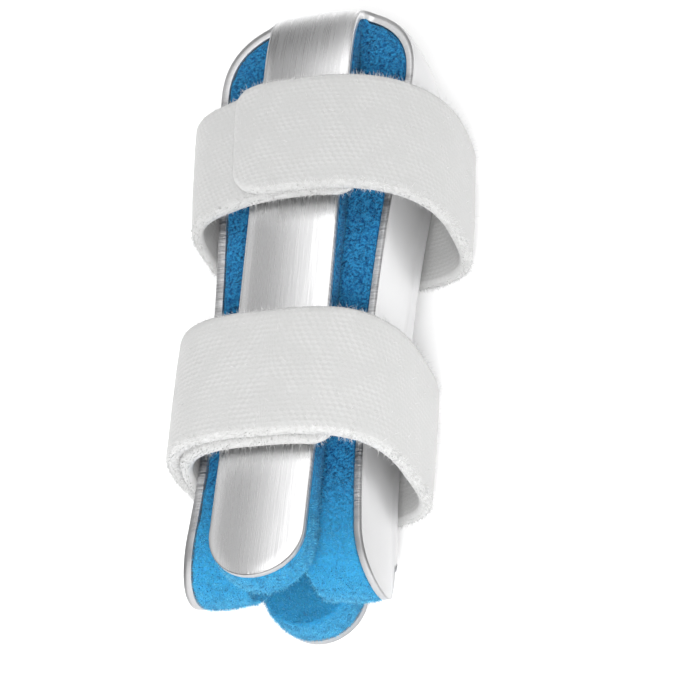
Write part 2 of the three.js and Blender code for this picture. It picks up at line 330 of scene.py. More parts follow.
    def lean_at(self, layer: Layer, z: float) -> float:
        """How far the end wall leans in at a height to meet the fold.

        Args:
            layer: The layer of the end wall.
            z: The height.

        Returns:
            The distance towards the open end.
        """
        rise = clamp((z - (layer.fold_top - layer.fold)) / layer.fold)
        power = self.fold_fullness if layer.follows else CIRCLE
        return (layer.fold + layer.lead) * (1 - (1 - rise**power) ** (1 / power))

    def squeeze_at(self, layer: Layer, y: float, z: float) -> float:
        """How far the lining bulges in near its rim at the cup, where the strip presses it.

        Args:
            layer: The layer of the lining.
            y: Place along the splint.
            z: The height.

        Returns:
            The distance inwards.
        """
        near_cup = smooth((y - self.foam_cup_start) / (self.cup_centre - self.foam_cup_start))
        near_rim = smooth((z - self.wall_foot) / (self.rim_level - self.wall_foot))
        return layer.cup_swell * near_cup * near_rim

    def profile_at(self, layer: Layer, column: int, reach: float) -> ProfileSpot:
        """Place on the profile from the rim down to the middle of the back.

        Args:
            layer: The layer that the profile belongs to.
            column: Step on the profile, from 0 at the rim.
            reach: Distance from the wall to the middle of the back.

        Returns:
            The inward distance, height, share of the corner and developed distance.
        """
        foot = self.back_level + layer.offset + layer.corner
        bend = reach - layer.corner
        if column <= self.wall_steps:
            z = lerp(self.rim_level, foot, column / self.wall_steps)
            return ProfileSpot(0.0, z, 0.0, bend + layer.corner * QUARTER + z - foot)
        arc = (column - self.wall_steps) / self.corner_steps
        if arc <= 1:
            angle = arc * QUARTER
            inward = layer.corner * (1 - math.cos(angle))
            z = foot - layer.corner * math.sin(angle)
            return ProfileSpot(inward, z, arc, bend + layer.corner * (QUARTER - angle))
        share = (column - self.wall_steps - self.corner_steps) / self.back_steps
        inward = lerp(layer.corner, reach, share)
        return ProfileSpot(inward, foot - layer.corner, 0.0, reach - inward)

    def trough_point(self, layer: Layer, y: float, column: int, is_first: bool) -> Spot:
        """Point of the straight trough.

        Args:
            layer: The layer that the point lies on.
            y: Place along the splint.
            column: Step on the profile, from 0 at the rim.
            is_first: Whether this is the first row, which carries the arch of the notch.

        Returns:
            The point and its place on the flat blank.
        """
        half = self.trough_half(layer, y)
        spot = self.profile_at(layer, column, half)
        arch = self.notch_arch * math.sqrt(1 - (2 * spot.arc - 1) ** 2) if is_first else 0.0
        x = half - spot.inward + self.bulge_at(spot.z) - self.squeeze_at(layer, y, spot.z)
        x = 0.0 if column == self.columns else x
        return Spot(x, y + arch, spot.z, spot.developed, y + arch)

    def root_drop(self, layer: Layer, share: float) -> float:
        """How far the end wall stands back behind its middle, over the strip's root.

        Args:
            layer: The layer of the end wall.
            share: Place across, from 0 in the middle to 1 at the root's edge.

        Returns:
            The distance towards the open end.
        """
        flat = self.strip_crown * math.sin(QUARTER * min(share / self.flat_share, 1)) ** 2
        height = math.sin(self.root_angle) ** (2 / self.cup_fullness)
        shoulder = (self.cup_depth - layer.offset) * (1 - height)
        ramp = (share - self.flat_share) / (1 - self.flat_share)
        blend = self.shoulder_blend
        if ramp < blend:
            ramp = max(0.0, ramp + blend) ** 2 / (4 * blend)
        return flat + (shoulder - self.strip_crown) * ramp

    def cup_point(self, layer: Layer, angle: float, column: int) -> Spot:
        """Point of the rounded cup, where every profile runs to the cup's centre.

        Args:
            layer: The layer that the point lies on.
            angle: Angle round the cup, from 0 at the wing to a quarter turn at the strip.
            column: Step on the profile, from 0 at the rim.

        Returns:
            The point and its place on the flat blank.
        """
        along_half = self.cup_depth - layer.offset
        power = 2 / self.cup_fullness
        x = (self.cup_half_width - layer.offset) * math.cos(angle) ** power
        y = along_half * math.sin(angle) ** power
        if angle > self.root_angle:
            share = (math.cos(angle) / math.cos(self.root_angle)) ** power
            y = along_half - self.root_drop(layer, share)
        reach = math.hypot(x, y)
        spot = self.profile_at(layer, column, reach)
        to_fold = smooth(angle / self.root_angle)
        outward = self.bulge_at(spot.z) * (1 - to_fold) - self.lean_at(layer, spot.z) * to_fold
        outward -= self.squeeze_at(layer, self.cup_centre, spot.z) * (1 - to_fold)
        scale = 0.0 if column == self.columns else (reach - spot.inward + outward) / reach
        across = lerp(spot.developed, scale * reach, to_fold) * x / reach
        along = self.cup_centre + spot.developed * y / reach
        return Spot(x * scale, self.cup_centre + y * scale, spot.z, across, along)

    def wing_end_point(self, layer: Layer, angle: float, column: int) -> Spot:
        """Point of a wing's rounded end.

        Args:
            layer: The layer that the point lies on.
            angle: Angle round the end, from 0 at the trough to a quarter turn at the tip.
            column: Step on the profile, from 0 at the rim.

        Returns:
            The point and its place on the flat blank.
        """
        y = self.wing_round_centre - self.wing_round * math.sin(angle)
        start = self.profile_at(layer, column, 0).z
        middle = (self.rim_level + self.profile_at(layer, self.wall_steps, 0).z) / 2
        z = middle + (start - middle) * math.cos(angle)
        half = self.trough_half(layer, y)
        developed = half - layer.corner + layer.corner * QUARTER + z - middle
        return Spot(half + self.bulge_at(z), y, z, developed + self.wing_round, y)

    def back_end_point(self, layer: Layer, row: int, column: int) -> Spot:
        """Point of the back's rounded end.

        Args:
            layer: The layer that the point lies on.
            row: Step towards the tip; row 0 is the edge it shares with the trough.
            column: Step on the profile, past the corner.

        Returns:
            The point and its place on the flat blank.
        """
        if row == 0:
            return self.trough_point(layer, self.wing_round_centre, column, True)
        angle = (row - 1) / self.round_steps * QUARTER
        share = 1 - (column - self.wall_steps - self.corner_steps) / self.back_steps
        centre = self.strip_tip + self.back_tip_inset + self.strip_half
        x = self.strip_half * math.cos(angle) * share
        y = centre - self.strip_half * math.sin(angle)
        return Spot(x, y, self.back_level + layer.offset, x, y)

    def front_height(self, layer: Layer, y: float) -> float:
        """Height of a layer of the front strip.

        Args:
            layer: The layer.
            y: Place along the splint.

        Returns:
            The height of the layer's middle.
        """
        if not layer.follows:
            return layer.fold_top
        along = (y - self.strip_tip) / (self.fold_end - self.fold_radius - self.strip_tip)
        return layer.fold_top + self.rise.at(along)

    def strip_point(self, layer: Layer, row: int, share: float) -> Spot:
        """Point of the strip: up from the end wall, over the fold and along the front.

        Args:
            layer: The layer that the point lies on.
            row: Step from the root to the tip.
            share: Place across, from 0 in the middle to 1 at the edge.

        Returns:
            The point and its place on the flat blank.
        """
        if row == 0:
            return self.cup_point(layer, self.angle_across(share), 0)
        centre_y = self.fold_end - layer.offset - layer.fold - layer.lead
        centre_z = layer.fold_top - layer.fold
        power = 2 / self.fold_fullness if layer.follows else 1.0
        start_angle = math.asin(((self.rim_level - centre_z) / layer.fold) ** (1 / power))
        rim_rise = (self.rim_level - self.strip_level + self.fold_radius) / self.fold_radius
        fillet_share = self.root_fillet / (self.fold_radius * (QUARTER - math.asin(rim_rise)))
        bend_rows = self.fillet_steps + self.fold_steps
        crown = self.strip_crown if layer.follows else 0.0
        start_along = self.strip_point(layer, 0, 0).along
        bend_length = (self.fold_radius + layer.lead / 2) * (QUARTER - start_angle)
        if row <= bend_rows:
            in_fillet = min(row / self.fillet_steps, 1)
            in_fold = max((row - self.fillet_steps) / self.fold_steps, 0)
            bend = lerp(fillet_share * in_fillet, 1, in_fold)
            angle = lerp(start_angle, QUARTER, bend)
            root = self.root_half * (self.cup_half_width - layer.offset) / self.cup_half_width
            flare = 1 - math.sqrt(1 - (1 - in_fillet) ** 2)
            half = lerp(self.strip_half, root, flare)
            flatter = self.fold_crown / self.strip_crown
            in_bend = math.sin(math.pi * lerp(self.fold_crown_start, 1, bend))
            over = crown * lerp(1, flatter, in_bend) * share**2
            drop = lerp(over, self.root_drop(layer, share), flare)
            lean = bend * QUARTER if layer.follows else 0.0
            forth = (layer.fold + layer.lead) * max(0.0, math.cos(angle)) ** power
            y = centre_y + forth - drop * math.cos(lean)
            z = centre_z + layer.fold * math.sin(angle) ** power - drop * math.sin(lean)
            z += self.front_height(layer, y) - layer.fold_top
            return Spot(half * share, y, z, half * share, start_along + bend * bend_length)
        tip_centre = self.strip_tip + self.strip_half
        along = min((row - bend_rows) / self.front_steps, 1)
        angle = max((row - bend_rows - self.front_steps) / self.round_steps, 0) * QUARTER
        y = lerp(centre_y, tip_centre, along) - self.strip_half * math.sin(angle)
        x = self.strip_half * math.cos(angle) * share
        z = self.front_height(layer, y) - crown * (x / self.strip_half) ** 2
        return Spot(x, y, z, x, start_along + bend_length + centre_y - y)


PointMaker = Callable[[Layer, int, int], Spot]


@dataclass
class SheetGrid:
    """The welded grid of the whole sheet, right and left halves."""

    form: SheetForm
    makers: list[Callable[[Layer], Spot]] = field(default_factory=list)
    triangles: list[tuple[int, int, int]] = field(default_factory=list)

    def _add(
        self,
        rows: int,
        columns: int,
        point: PointMaker,
        mirrored: bool,
        backwards: bool = False,
    ) -> None:
        """Adds a grid of quads.

        Args:
            rows: Number of steps one way.
            columns: Number of steps the other way.
            point: Gives the place of a row and column on a layer.
            mirrored: Whether the grid is on the left.
            backwards: Whether its rows run against those of the trough.
        """
        first = len(self.makers)
        side = -1 if mirrored else 1

        def maker(row: int, column: int) -> Callable[[Layer], Spot]:
            """Makes the function that places one point of the grid on any layer."""

            def place(layer: Layer) -> Spot:
                """Place of the point on a layer, on the grid's own side."""
                spot = point(layer, row, column)
                return spot._replace(x=spot.x * side, across=spot.across * side)

            return place

        for row in range(rows + 1):
            self.makers += [maker(row, column) for column in range(columns + 1)]
        for row in range(rows):
            for column in range(columns):
                a = first + row * (columns + 1) + column
                b, c, d = a + 1, a + columns + 2, a + columns + 1
                self.triangles += (
                    [(a, c, b), (a, d, c)] if mirrored != backwards else [(a, b, c), (a, c, d)]
                )

    def fill(self) -> None:
        """Adds every grid of the sheet."""
        form = self.form
        rows = [form.wing_round_centre] + [
            lerp(form.wing_round_centre, form.cup_centre, step / form.trough_steps)
            for step in range(1, form.trough_steps + 1)
        ]
        shares = [1 - step / form.root_steps for step in range(form.root_steps + 1)]
        angles = [form.root_angle * step / form.cup_steps for step in range(form.cup_steps + 1)]
        angles += [form.angle_across(share) for share in shares[1:]]
        strip_rows = form.fillet_steps + form.fold_steps + form.front_steps + form.round_steps
        back_start = form.wall_steps + form.corner_steps
        for mirrored in (False, True):
            self._add(
                len(rows) - 1,
                form.columns,
                lambda layer, row, column: form.trough_point(layer, rows[row], column, row == 0),
                mirrored,
            )
            self._add(
                len(angles) - 1,
                form.columns,
                lambda layer, row, column: form.cup_point(layer, angles[row], column),
                mirrored,
            )
            self._add(
                form.round_steps,
                form.wall_steps,
                lambda layer, row, column: form.wing_end_point(
                    layer, row / form.round_steps * QUARTER, column
                ),
                mirrored,
                True,
            )
            self._add(
                form.round_steps + 1,
                form.back_steps,
                lambda layer, row, column: form.back_end_point(layer, row, column + back_start),
                mirrored,
                True,
            )
            self._add(
                strip_rows,
                form.root_steps,
                lambda layer, row, column: form.strip_point(layer, row, shares[column]),
                mirrored,
            )

    def welded(
        self, outer: Layer, inner: Layer
    ) -> tuple[np.ndarray, np.ndarray, np.ndarray, np.ndarray]:
        """Points of both layers, with the sheet's triangles.

        Args:
            outer: The layer that faces out.
            inner: The layer that faces the finger.

        Returns:
            Outer points, inner points, flat places and triangles.
        """
        outer_spots = [maker(outer) for maker in self.makers]
        keys: dict[tuple[int, int, int], int] = {}
        order = np.zeros(len(outer_spots), int)
        kept: list[int] = []
        for index, spot in enumerate(outer_spots):
            key = tuple(round(value * WELD_STEPS) for value in spot[:3])
            if key not in keys:
                keys[key] = len(kept)
                kept.append(index)
            order[index] = keys[key]
        inner_spots = [self.makers[index](inner) for index in kept]
        faces = order[np.array(self.triangles)]
        whole = (
            (faces[:, 0] != faces[:, 1])
            & (faces[:, 1] != faces[:, 2])
            & (faces[:, 2] != faces[:, 0])
        )
        outer_array = np.array([outer_spots[index] for index in kept])
        inner_array = np.array(inner_spots)
        return outer_array[:, :3], inner_array[:, :3], outer_array[:, 3:], faces[whole]


@dataclass(frozen=True)
class RimStyle:
    """How the edge of a layered body is finished.

    Attributes:
        rounding: Radius of both edges.
        reach: How far from the edge the faces give way to it.
        roll: How far the outer face rolls over towards its edge.
        arc_steps: Steps on each rounded edge.
        flat_steps: Steps across the flat of the edge.
        bulge: How far the flat of the edge stands out.
        most_round: Largest radius as a share of the thickness.
        roll_power: How late the roll sets in towards the edge.
    """

    rounding: float
    reach: float
    roll: float
    arc_steps: int
    flat_steps: int
    bulge: float = 0.0
    most_round: float = 0.45
    roll_power: float = 2.5

    def sections(self, thick: np.ndarray) -> list[tuple[np.ndarray, np.ndarray]]:
        """Rows of the edge between the two faces.

        Args:
            thick: Thickness at each point of the edge.

        Returns:
            For each row, its depth below the outer face and how far out it lies.
        """
        radius = np.minimum(self.rounding, thick * self.most_round)
        arcs = [step / self.arc_steps * QUARTER for step in range(1, self.arc_steps + 1)]
        rows = []
        for angle in arcs:
            depth = radius * (1 - math.cos(angle)) + self.roll * math.cos(angle)
            rows.append((depth, (math.sin(angle) - 1) * radius))
        for step in range(1, self.flat_steps):
            share = step / self.flat_steps
            outward = np.full_like(thick, self.bulge * math.sin(math.pi * share))
            rows.append((radius + (thick - 2 * radius) * share, outward))
        for angle in reversed(arcs):
            depth = thick - radius * (1 - math.cos(angle))
            rows.append((depth, (math.sin(angle) - 1) * radius))
        return rows


def unit(vectors: np.ndarray) -> np.ndarray:
    """Rows scaled to length one."""
    return vectors / np.maximum(np.linalg.norm(vectors, axis=-1, keepdims=True), 1e-9)


def boundary_loops(triangles: np.ndarray) -> list[list[int]]:
    """Closed runs of the edges that belong to one triangle only.

    Args:
        triangles: Triangles of an open surface.

    Returns:
        The points of each run, in order.
    """
    edges = {tuple(edge) for tri in triangles.tolist() for edge in zip(tri, tri[1:] + tri[:1])}
    following = {a: b for a, b in edges if (b, a) not in edges}
    loops = []
    while following:
        start, nxt = following.popitem()
        loop = [start]
        while nxt != start:
            loop.append(nxt)
            nxt = following.pop(nxt)
        loops.append(loop)
    return loops


@dataclass(frozen=True)
class RimLoop:
    """One closed edge of the sheet, point by point.

    Attributes:
        ring: The points' numbers, in order.
        out: Direction away from the sheet.
        deep: Direction from the outer layer to the inner one.
        travelled: Distance along the edge, with the whole length last.
        straight: 1 where the edge runs straight, down to 0 where it turns sharply.
    """

    ring: np.ndarray
    out: np.ndarray
    deep: np.ndarray
    travelled: np.ndarray
    straight: np.ndarray

    @classmethod
    def along(cls, loop: list[int], top: np.ndarray, under: np.ndarray) -> RimLoop:
        """Measures one edge.

        Args:
            loop: The points' numbers, in order.
            top: Points of the outer layer.
            under: Points of the inner layer.

        Returns:
            The edge with its directions and lengths.
        """
        ring = np.array(loop)
        middle = (top[ring] + under[ring]) / 2
        tangent = unit(np.roll(middle, -1, axis=0) - np.roll(middle, 1, axis=0))
        deep = unit(under[ring] - top[ring])
        steps = np.linalg.norm(np.roll(middle, -1, axis=0) - middle, axis=1)
        change = np.linalg.norm(np.roll(tangent, -1, axis=0) - np.roll(tangent, 1, axis=0), axis=1)
        turn = change / np.maximum(steps + np.roll(steps, 1), TINY)
        return cls(
            ring,
            unit(np.cross(deep, tangent)),
            deep,
            np.concatenate([[0.0], np.cumsum(steps)]),
            np.clip(1 - turn * TIGHT_TURN, 0, 1),
        )


@dataclass
class LayeredBody:
    """Closed body between two layers of a sheet, with its edges rounded."""

    points: np.ndarray
    triangles: np.ndarray
    finish: np.ndarray
    flat_pattern: np.ndarray
    edge_pattern: np.ndarray
    brush: np.ndarray

    @classmethod
    def between(
        cls, grid: SheetGrid, outer: Layer, inner: Layer, rim: RimStyle
    ) -> LayeredBody:
        """Builds the body.

        Args:
            grid: The grid of the sheet.
            outer: The layer that faces out.
            inner: The layer that faces the finger.
            rim: How the edge is finished.

        Returns:
            The body; its faces have finish 0 outside, 1 on the edge and 2 inside.
        """
        top, under, flat, faces = grid.welded(outer, inner)
        count = len(top)
        loops = [RimLoop.along(loop, top, under) for loop in boundary_loops(faces)]
        points = list(cls._drawn_in(top, under, loops, rim))
        edge_pattern = np.zeros((2 * count, 3))
        patterns = [edge_pattern]
        body = [faces, faces[:, ::-1] + count]
        finish = [np.zeros(len(faces), int), np.full(len(faces), 2)]
        made = 2 * count
        for loop in loops:
            ring = loop.ring
            thick = np.linalg.norm(under[ring] - top[ring], axis=1)[:, None]
            rows = [ring]
            depths = [np.zeros((len(ring), 1))]
            for depth, outward in rim.sections(thick):
                points.append(top[ring] + loop.deep * depth + loop.out * outward)
                rows.append(np.arange(made, made + len(ring)))
                depths.append(depth)
                made += len(ring)
            rows.append(ring + count)
            depths.append(thick)
            blocks = [
                np.column_stack([loop.travelled[:-1], depth[:, 0], loop.straight])
                for depth in depths
            ]
            edge_pattern[rows[0]], edge_pattern[rows[-1]] = blocks[0], blocks[-1]
            patterns += blocks[1:-1]
            for upper, lower in zip(rows, rows[1:]):
                after_upper, after_lower = np.roll(upper, -1), np.roll(lower, -1)
                body.append(np.column_stack([upper, lower, after_lower]))
                body.append(np.column_stack([upper, after_lower, after_upper]))
                finish.append(np.ones(2 * len(ring), int))
        brush = brush_directions(top, flat, faces)
        spare = made - 2 * count
        return cls(
            np.concatenate(points),
            np.concatenate(body),
            np.concatenate(finish),
            np.concatenate([flat, flat, np.zeros((spare, 2))]),
            np.concatenate(patterns),
            np.concatenate([brush, brush, np.tile([0.0, 1.0, 0.0], (spare, 1))]),
        )

    @staticmethod
    def _drawn_in(
        top: np.ndarray, under: np.ndarray, loops: list[RimLoop], rim: RimStyle
    ) -> tuple[np.ndarray, np.ndarray]:
        """Draws the faces in near the edge, to make room for its rounding.

        Args:
            top: Points of the outer layer.
            under: Points of the inner layer.
            loops: The sheet's edges.
            rim: How the edge is finished.

        Returns:
            Both layers' points, moved.
        """
        frames = {
            index: (loop.out[place], loop.deep[place])
            for loop in loops
            for place, index in enumerate(loop.ring.tolist())
        }
        tree = kdtree.KDTree(len(frames))
        for index in frames:
            tree.insert(Vector(top[index]), index)
        tree.balance()
        moved_top, moved_under = top.copy(), under.copy()
        for index, point in enumerate(top):
            _, near, distance = tree.find(Vector(point))
            if distance >= rim.reach:
                continue
            out, deep = frames[near]
            share = 1 - distance / rim.reach
            moved_top[index] -= out * rim.rounding * share
            moved_under[index] -= out * rim.rounding * share
            moved_top[index] += deep * rim.roll * share**rim.roll_power
        return moved_top, moved_under


def brush_directions(points: np.ndarray, flat: np.ndarray, faces: np.ndarray) -> np.ndarray:
    """Direction at each point in which the flat blank's length runs.

    Args:
        points: The sheet's points.
        flat: Their places on the flat blank, across and along.
        faces: The sheet's triangles.

    Returns:
        One unit vector for each point.
    """
    a, b, c = faces.T
    first, second = points[b] - points[a], points[c] - points[a]
    flat_first, flat_second = flat[b] - flat[a], flat[c] - flat[a]
    area = flat_first[:, 0] * flat_second[:, 1] - flat_first[:, 1] * flat_second[:, 0]
    along = (second * flat_first[:, :1] - first * flat_second[:, :1]) * np.sign(area)[:, None]
    total = np.zeros_like(points)
    for corner in range(3):
        np.add.at(total, faces[:, corner], along)
    return unit(total)


def make_object(
    name: str,
    points: np.ndarray,
    triangles: np.ndarray,
    materials: Sequence[bpy.types.Material],
    finish: np.ndarray | None = None,
    attributes: dict[str, np.ndarray] | None = None,
) -> bpy.types.Object:
    """Makes a mesh object from millimetre points.

    Args:
        name: The piece's name.
        points: Its points in millimetres.
        triangles: Its triangles, or quads.
        materials: Its material slots.
        finish: The slot of each face.
        attributes: Vectors for each point that the materials read.

    Returns:
        The object, linked to the scene and shaded smooth.
    """
    mesh = bpy.data.meshes.new(name)
    mesh.from_pydata((points * MM).tolist(), [], triangles.tolist())
    for material in materials:
        mesh.materials.append(material)
    if finish is not None:
        mesh.polygons.foreach_set("material_index", finish.astype(np.int32))
    for title, values in (attributes or {}).items():
        layer = mesh.attributes.new(title, "FLOAT_VECTOR", "POINT")
        layer.data.foreach_set("vector", values.astype(np.float32).ravel())
    mesh.shade_smooth()
    mesh.update()
    piece = bpy.data.objects.new(name, mesh)
    bpy.context.scene.collection.objects.link(piece)
    return piece


Input = Union[float, tuple, bpy.types.NodeSocket]


class NodeSketch:
    """Short hand for building node trees."""

    def __init__(self, tree: bpy.types.NodeTree) -> None:
        """Starts on a tree, clearing what it holds."""
        self.tree = tree
        tree.nodes.clear()

    def node(self, kind: str, inputs: dict | None = None, **settings) -> bpy.types.Node:
        """Adds a node.

        Args:
            kind: The node's type name without its ShaderNode prefix, or in full.
            inputs: Values or sockets for its inputs, by name or number.
            **settings: The node's own properties.

        Returns:
            The node.
        """
        full = kind if kind.startswith(("NodeGroup", "ShaderNode")) else f"ShaderNode{kind}"
        made = self.tree.nodes.new(full)
        for key, value in settings.items():
            setattr(made, key, value)
        for key, value in (inputs or {}).items():
            self._give(made.inputs[key], value)
        return made

    def _give(self, socket: bpy.types.NodeSocket, value: Input) -> None:
        """Links an input to a socket, or sets its value."""
        if isinstance(value, bpy.types.NodeSocket):
            self.tree.links.new(value, socket)
        else:
            socket.default_value = value

    def group(self, tree: bpy.types.NodeTree, *values: Input) -> bpy.types.Node:
        """Adds a group node with its inputs, in order."""
        return self.node("Group", dict(enumerate(values)), node_tree=tree)

    def parts(self, vector: bpy.types.NodeSocket) -> bpy.types.bpy_prop_collection:
        """Adds a Separate XYZ node and returns its three outputs."""
        return self.node("SeparateXYZ", {0: vector}).outputs

    def attribute(self, name: str) -> bpy.types.NodeSocket:
        """Reads a vector that the mesh holds for each point."""
        return self.node("Attribute", attribute_name=name).outputs["Vector"]

    def place(self) -> bpy.types.NodeSocket:
        """Reads the place on the object, in metres."""
        return self.node("TexCoord").outputs["Object"]

    def maths(self, operation: str, *values: Input) -> bpy.types.NodeSocket:
        """Adds a Math node and returns its value."""
        return self.node("Math", dict(enumerate(values)), operation=operation).outputs[0]

    def mix(self, share: Input, low: Input, high: Input) -> bpy.types.NodeSocket:
        """Adds a colour mix and returns its colour."""
        made = self.node("Mix", {0: share, 6: low, 7: high}, data_type="RGBA")
        return made.outputs[2]

    def mix_value(self, share: Input, low: Input, high: Input) -> bpy.types.NodeSocket:
        """Adds a mix of two values.

        Args:
            share: Share of the high value.
            low: Value at 0.
            high: Value at 1.

        Returns:
            The mixed value.
        """
        rest = self.maths("SUBTRACT", 1.0, share)
        return self.maths(
            "ADD", self.maths("MULTIPLY", low, rest), self.maths("MULTIPLY", high, share)
        )

    def remap(
        self, value: bpy.types.NodeSocket, low: float, high: float, to_low: float, to_high: float
    ) -> bpy.types.NodeSocket:
        """Adds a smooth Map Range node.

        Args:
            value: The value to map.
            low: Where the change begins.
            high: Where it ends.
            to_low: Result at and before its beginning.
            to_high: Result at and past its end.

        Returns:
            The mapped value.
        """
        settings = dict(enumerate((value, low, high, to_low, to_high)))
        return self.node("MapRange", settings, interpolation_type="SMOOTHSTEP").outputs[0]

    def surface(self, shader: bpy.types.Node, kind: str = "OutputMaterial") -> None:
        """Adds the output node and gives it a shader."""
        self.node(kind, {"Surface": shader.outputs[0]})


def new_group(name: str, inputs: dict[str, str], outputs: dict[str, str]) -> NodeSketch:
    """Makes an empty shader node group with named sockets.

    Args:
        name: The group's name.
        inputs: Socket types by input name.
        outputs: Socket types by output name.

    Returns:
        A sketch on the group's tree, with its input and output nodes in place.
    """
    tree = bpy.data.node_groups.new(name, "ShaderNodeTree")
    for title, kind in inputs.items():
        tree.interface.new_socket(name=title, in_out="INPUT", socket_type=kind)
    for title, kind in outputs.items():
        tree.interface.new_socket(name=title, in_out="OUTPUT", socket_type=kind)
    return NodeSketch(tree)


VECTOR = "NodeSocketVector"
VALUE = "NodeSocketFloat"


def streak_group() -> bpy.types.NodeTree:
    """Long fine streaks, as brushing or a shear leaves them in metal.

    Returns:
        The group's tree, which puts out one value from 0 to 1.
    """
    sketch = new_group(
        "metal_streaks",
        {"Pattern": VECTOR, "Fineness": VALUE, "Stretch": VALUE},
        {"Streaks": VALUE},
    )
    given = sketch.node("NodeGroupInput").outputs
    parts = sketch.parts(given["Pattern"])
    across = sketch.maths("MULTIPLY", parts[0], given["Fineness"])
    along = sketch.maths("MULTIPLY", parts[1], given["Stretch"])
    total = None
    for scale, weight in ((1.0, 0.5), (0.31, 0.3), (2.7, 0.2)):
        place = sketch.node(
            "CombineXYZ",
            {0: sketch.maths("MULTIPLY", across, scale), 1: sketch.maths("MULTIPLY", along, scale)},
        ).outputs[0]
        grain = sketch.node(
            "TexNoise", {"Vector": place, "Scale": 1.0, "Detail": 2.0, "Roughness": 0.6}
        ).outputs[0]
        part = sketch.maths("MULTIPLY", grain, weight)
        total = part if total is None else sketch.maths("ADD", total, part)
    sketch.node("NodeGroupOutput", {"Streaks": sketch.remap(total, 0.36, 0.64, 0.0, 1.0)})
    return sketch.tree


def mottle_group() -> bpy.types.NodeTree:
    """Fine grain and soft clouds, for foam and cloth.

    Returns:
        The group's tree, which puts out two values from 0 to 1.
    """
    sketch = new_group(
        "fine_mottle",
        {"Pattern": VECTOR, "Grain": VALUE, "Cloud": VALUE},
        {"Grain": VALUE, "Cloud": VALUE},
    )
    given = sketch.node("NodeGroupInput").outputs
    grain = sketch.node(
        "TexNoise",
        {"Vector": given["Pattern"], "Scale": given["Grain"], "Detail": 4.0, "Roughness": 0.7},
    ).outputs[0]
    cloud = sketch.node(
        "TexNoise",
        {"Vector": given["Pattern"], "Scale": given["Cloud"], "Detail": 2.0, "Roughness": 0.5},
    ).outputs[0]
    sketch.node(
        "NodeGroupOutput",
        {
            "Grain": sketch.remap(grain, 0.33, 0.67, 0.0, 1.0),
            "Cloud": sketch.remap(cloud, 0.35, 0.65, 0.0, 1.0),
        },
    )
    return sketch.tree


@dataclass(frozen=True)
class EffectGroups:
    """The shader node groups that the finishes share."""

    streaks: bpy.types.NodeTree
    mottle: bpy.types.NodeTree


def start_material(name: str) -> tuple[bpy.types.Material, NodeSketch]:
    """An empty node material and a sketch on its tree."""
    material = bpy.data.materials.new(name)
    material.use_nodes = True
    return material, NodeSketch(material.node_tree)


@dataclass(frozen=True)
class BrushedFace:
    """Brushed aluminium of the strip and plain satin of the walls, with painted shade darkening the
    wings' ends and the cup.

    Attributes:
        effects: The shared node groups.
        dark: Colour between the streaks.
        light: Colour of the streaks.
        satin: Colour of the walls.
        painted_shade: Darker colour painted on the wings' ends and the cup as shade.
        smoothest: Roughness of the streaks.
        roughest: Roughness between them.
        depth: Depth of the streaks in metres.
        fineness: Streaks to a millimetre, across and along.
        wall_share: How much of the brushing the walls show.
        wall_metal: How metallic the walls look.
        strip_start: Where on the flat blank walls give way to the strip.
        cup_start: Where the painted shade on the cup sets in.
        end_start: Where the painted shade on the ends sets in.
    """

    effects: EffectGroups
    dark: Colour = (0.755, 0.755, 0.76, 1)
    light: Colour = (0.815, 0.815, 0.82, 1)
    satin: Colour = (0.55, 0.55, 0.555, 1)
    painted_shade: Colour = (0.38, 0.38, 0.385, 1)
    smoothest: float = 0.25
    roughest: float = 0.36
    depth: float = 0.000008
    fineness: tuple[float, float] = (7.0, 0.10)
    wall_share: float = 0.12
    wall_metal: float = 0.4
    strip_start: tuple[float, float] = (58.0, 70.0)
    cup_start: tuple[float, float] = (30.0, 48.0)
    end_start: tuple[float, float] = (-22.0, -42.0)

    def build(self) -> bpy.types.Material:
        """Makes the material.

        Returns:
            The material, which reads flat_pattern and brush_direction.
        """
        material, sketch = start_material("brushed_aluminium")
        pattern = sketch.attribute("flat_pattern")
        streaks = sketch.group(self.effects.streaks, pattern, *self.fineness)
        along = sketch.parts(pattern)[1]
        on_strip = sketch.remap(along, *self.strip_start, self.wall_share, 1.0)
        # Painted shade: the wall colour darkens towards the cup and the wings' ends.
        painted_shade_at_cup = sketch.remap(along, *self.cup_start, 0.0, 0.5)
        painted_shading_at_end = sketch.remap(along, *self.end_start, 0.0, 1.0)
        satin = sketch.mix(sketch.maths("ADD", painted_shade_at_cup, painted_shading_at_end), self.satin, self.painted_shade)
        value = sketch.mix_value(on_strip, 0.5, streaks.outputs["Streaks"])
        brushed = sketch.mix(value, self.dark, self.light)
        bump = sketch.node("Bump", {"Strength": 0.3, "Distance": self.depth, "Height": value})
        shader = sketch.node(
            "BsdfPrincipled",
            {
                "Base Color": sketch.mix(on_strip, satin, brushed),
                "Metallic": sketch.remap(along, *self.strip_start, self.wall_metal, 1.0),
                "Roughness": sketch.remap(value, 0.0, 1.0, self.roughest, self.smoothest),
                "Anisotropic": 0.55,
                "Tangent": sketch.attribute("brush_direction"),
                "Normal": bump.outputs[0],
            },
        )
        sketch.surface(shader)
        return material


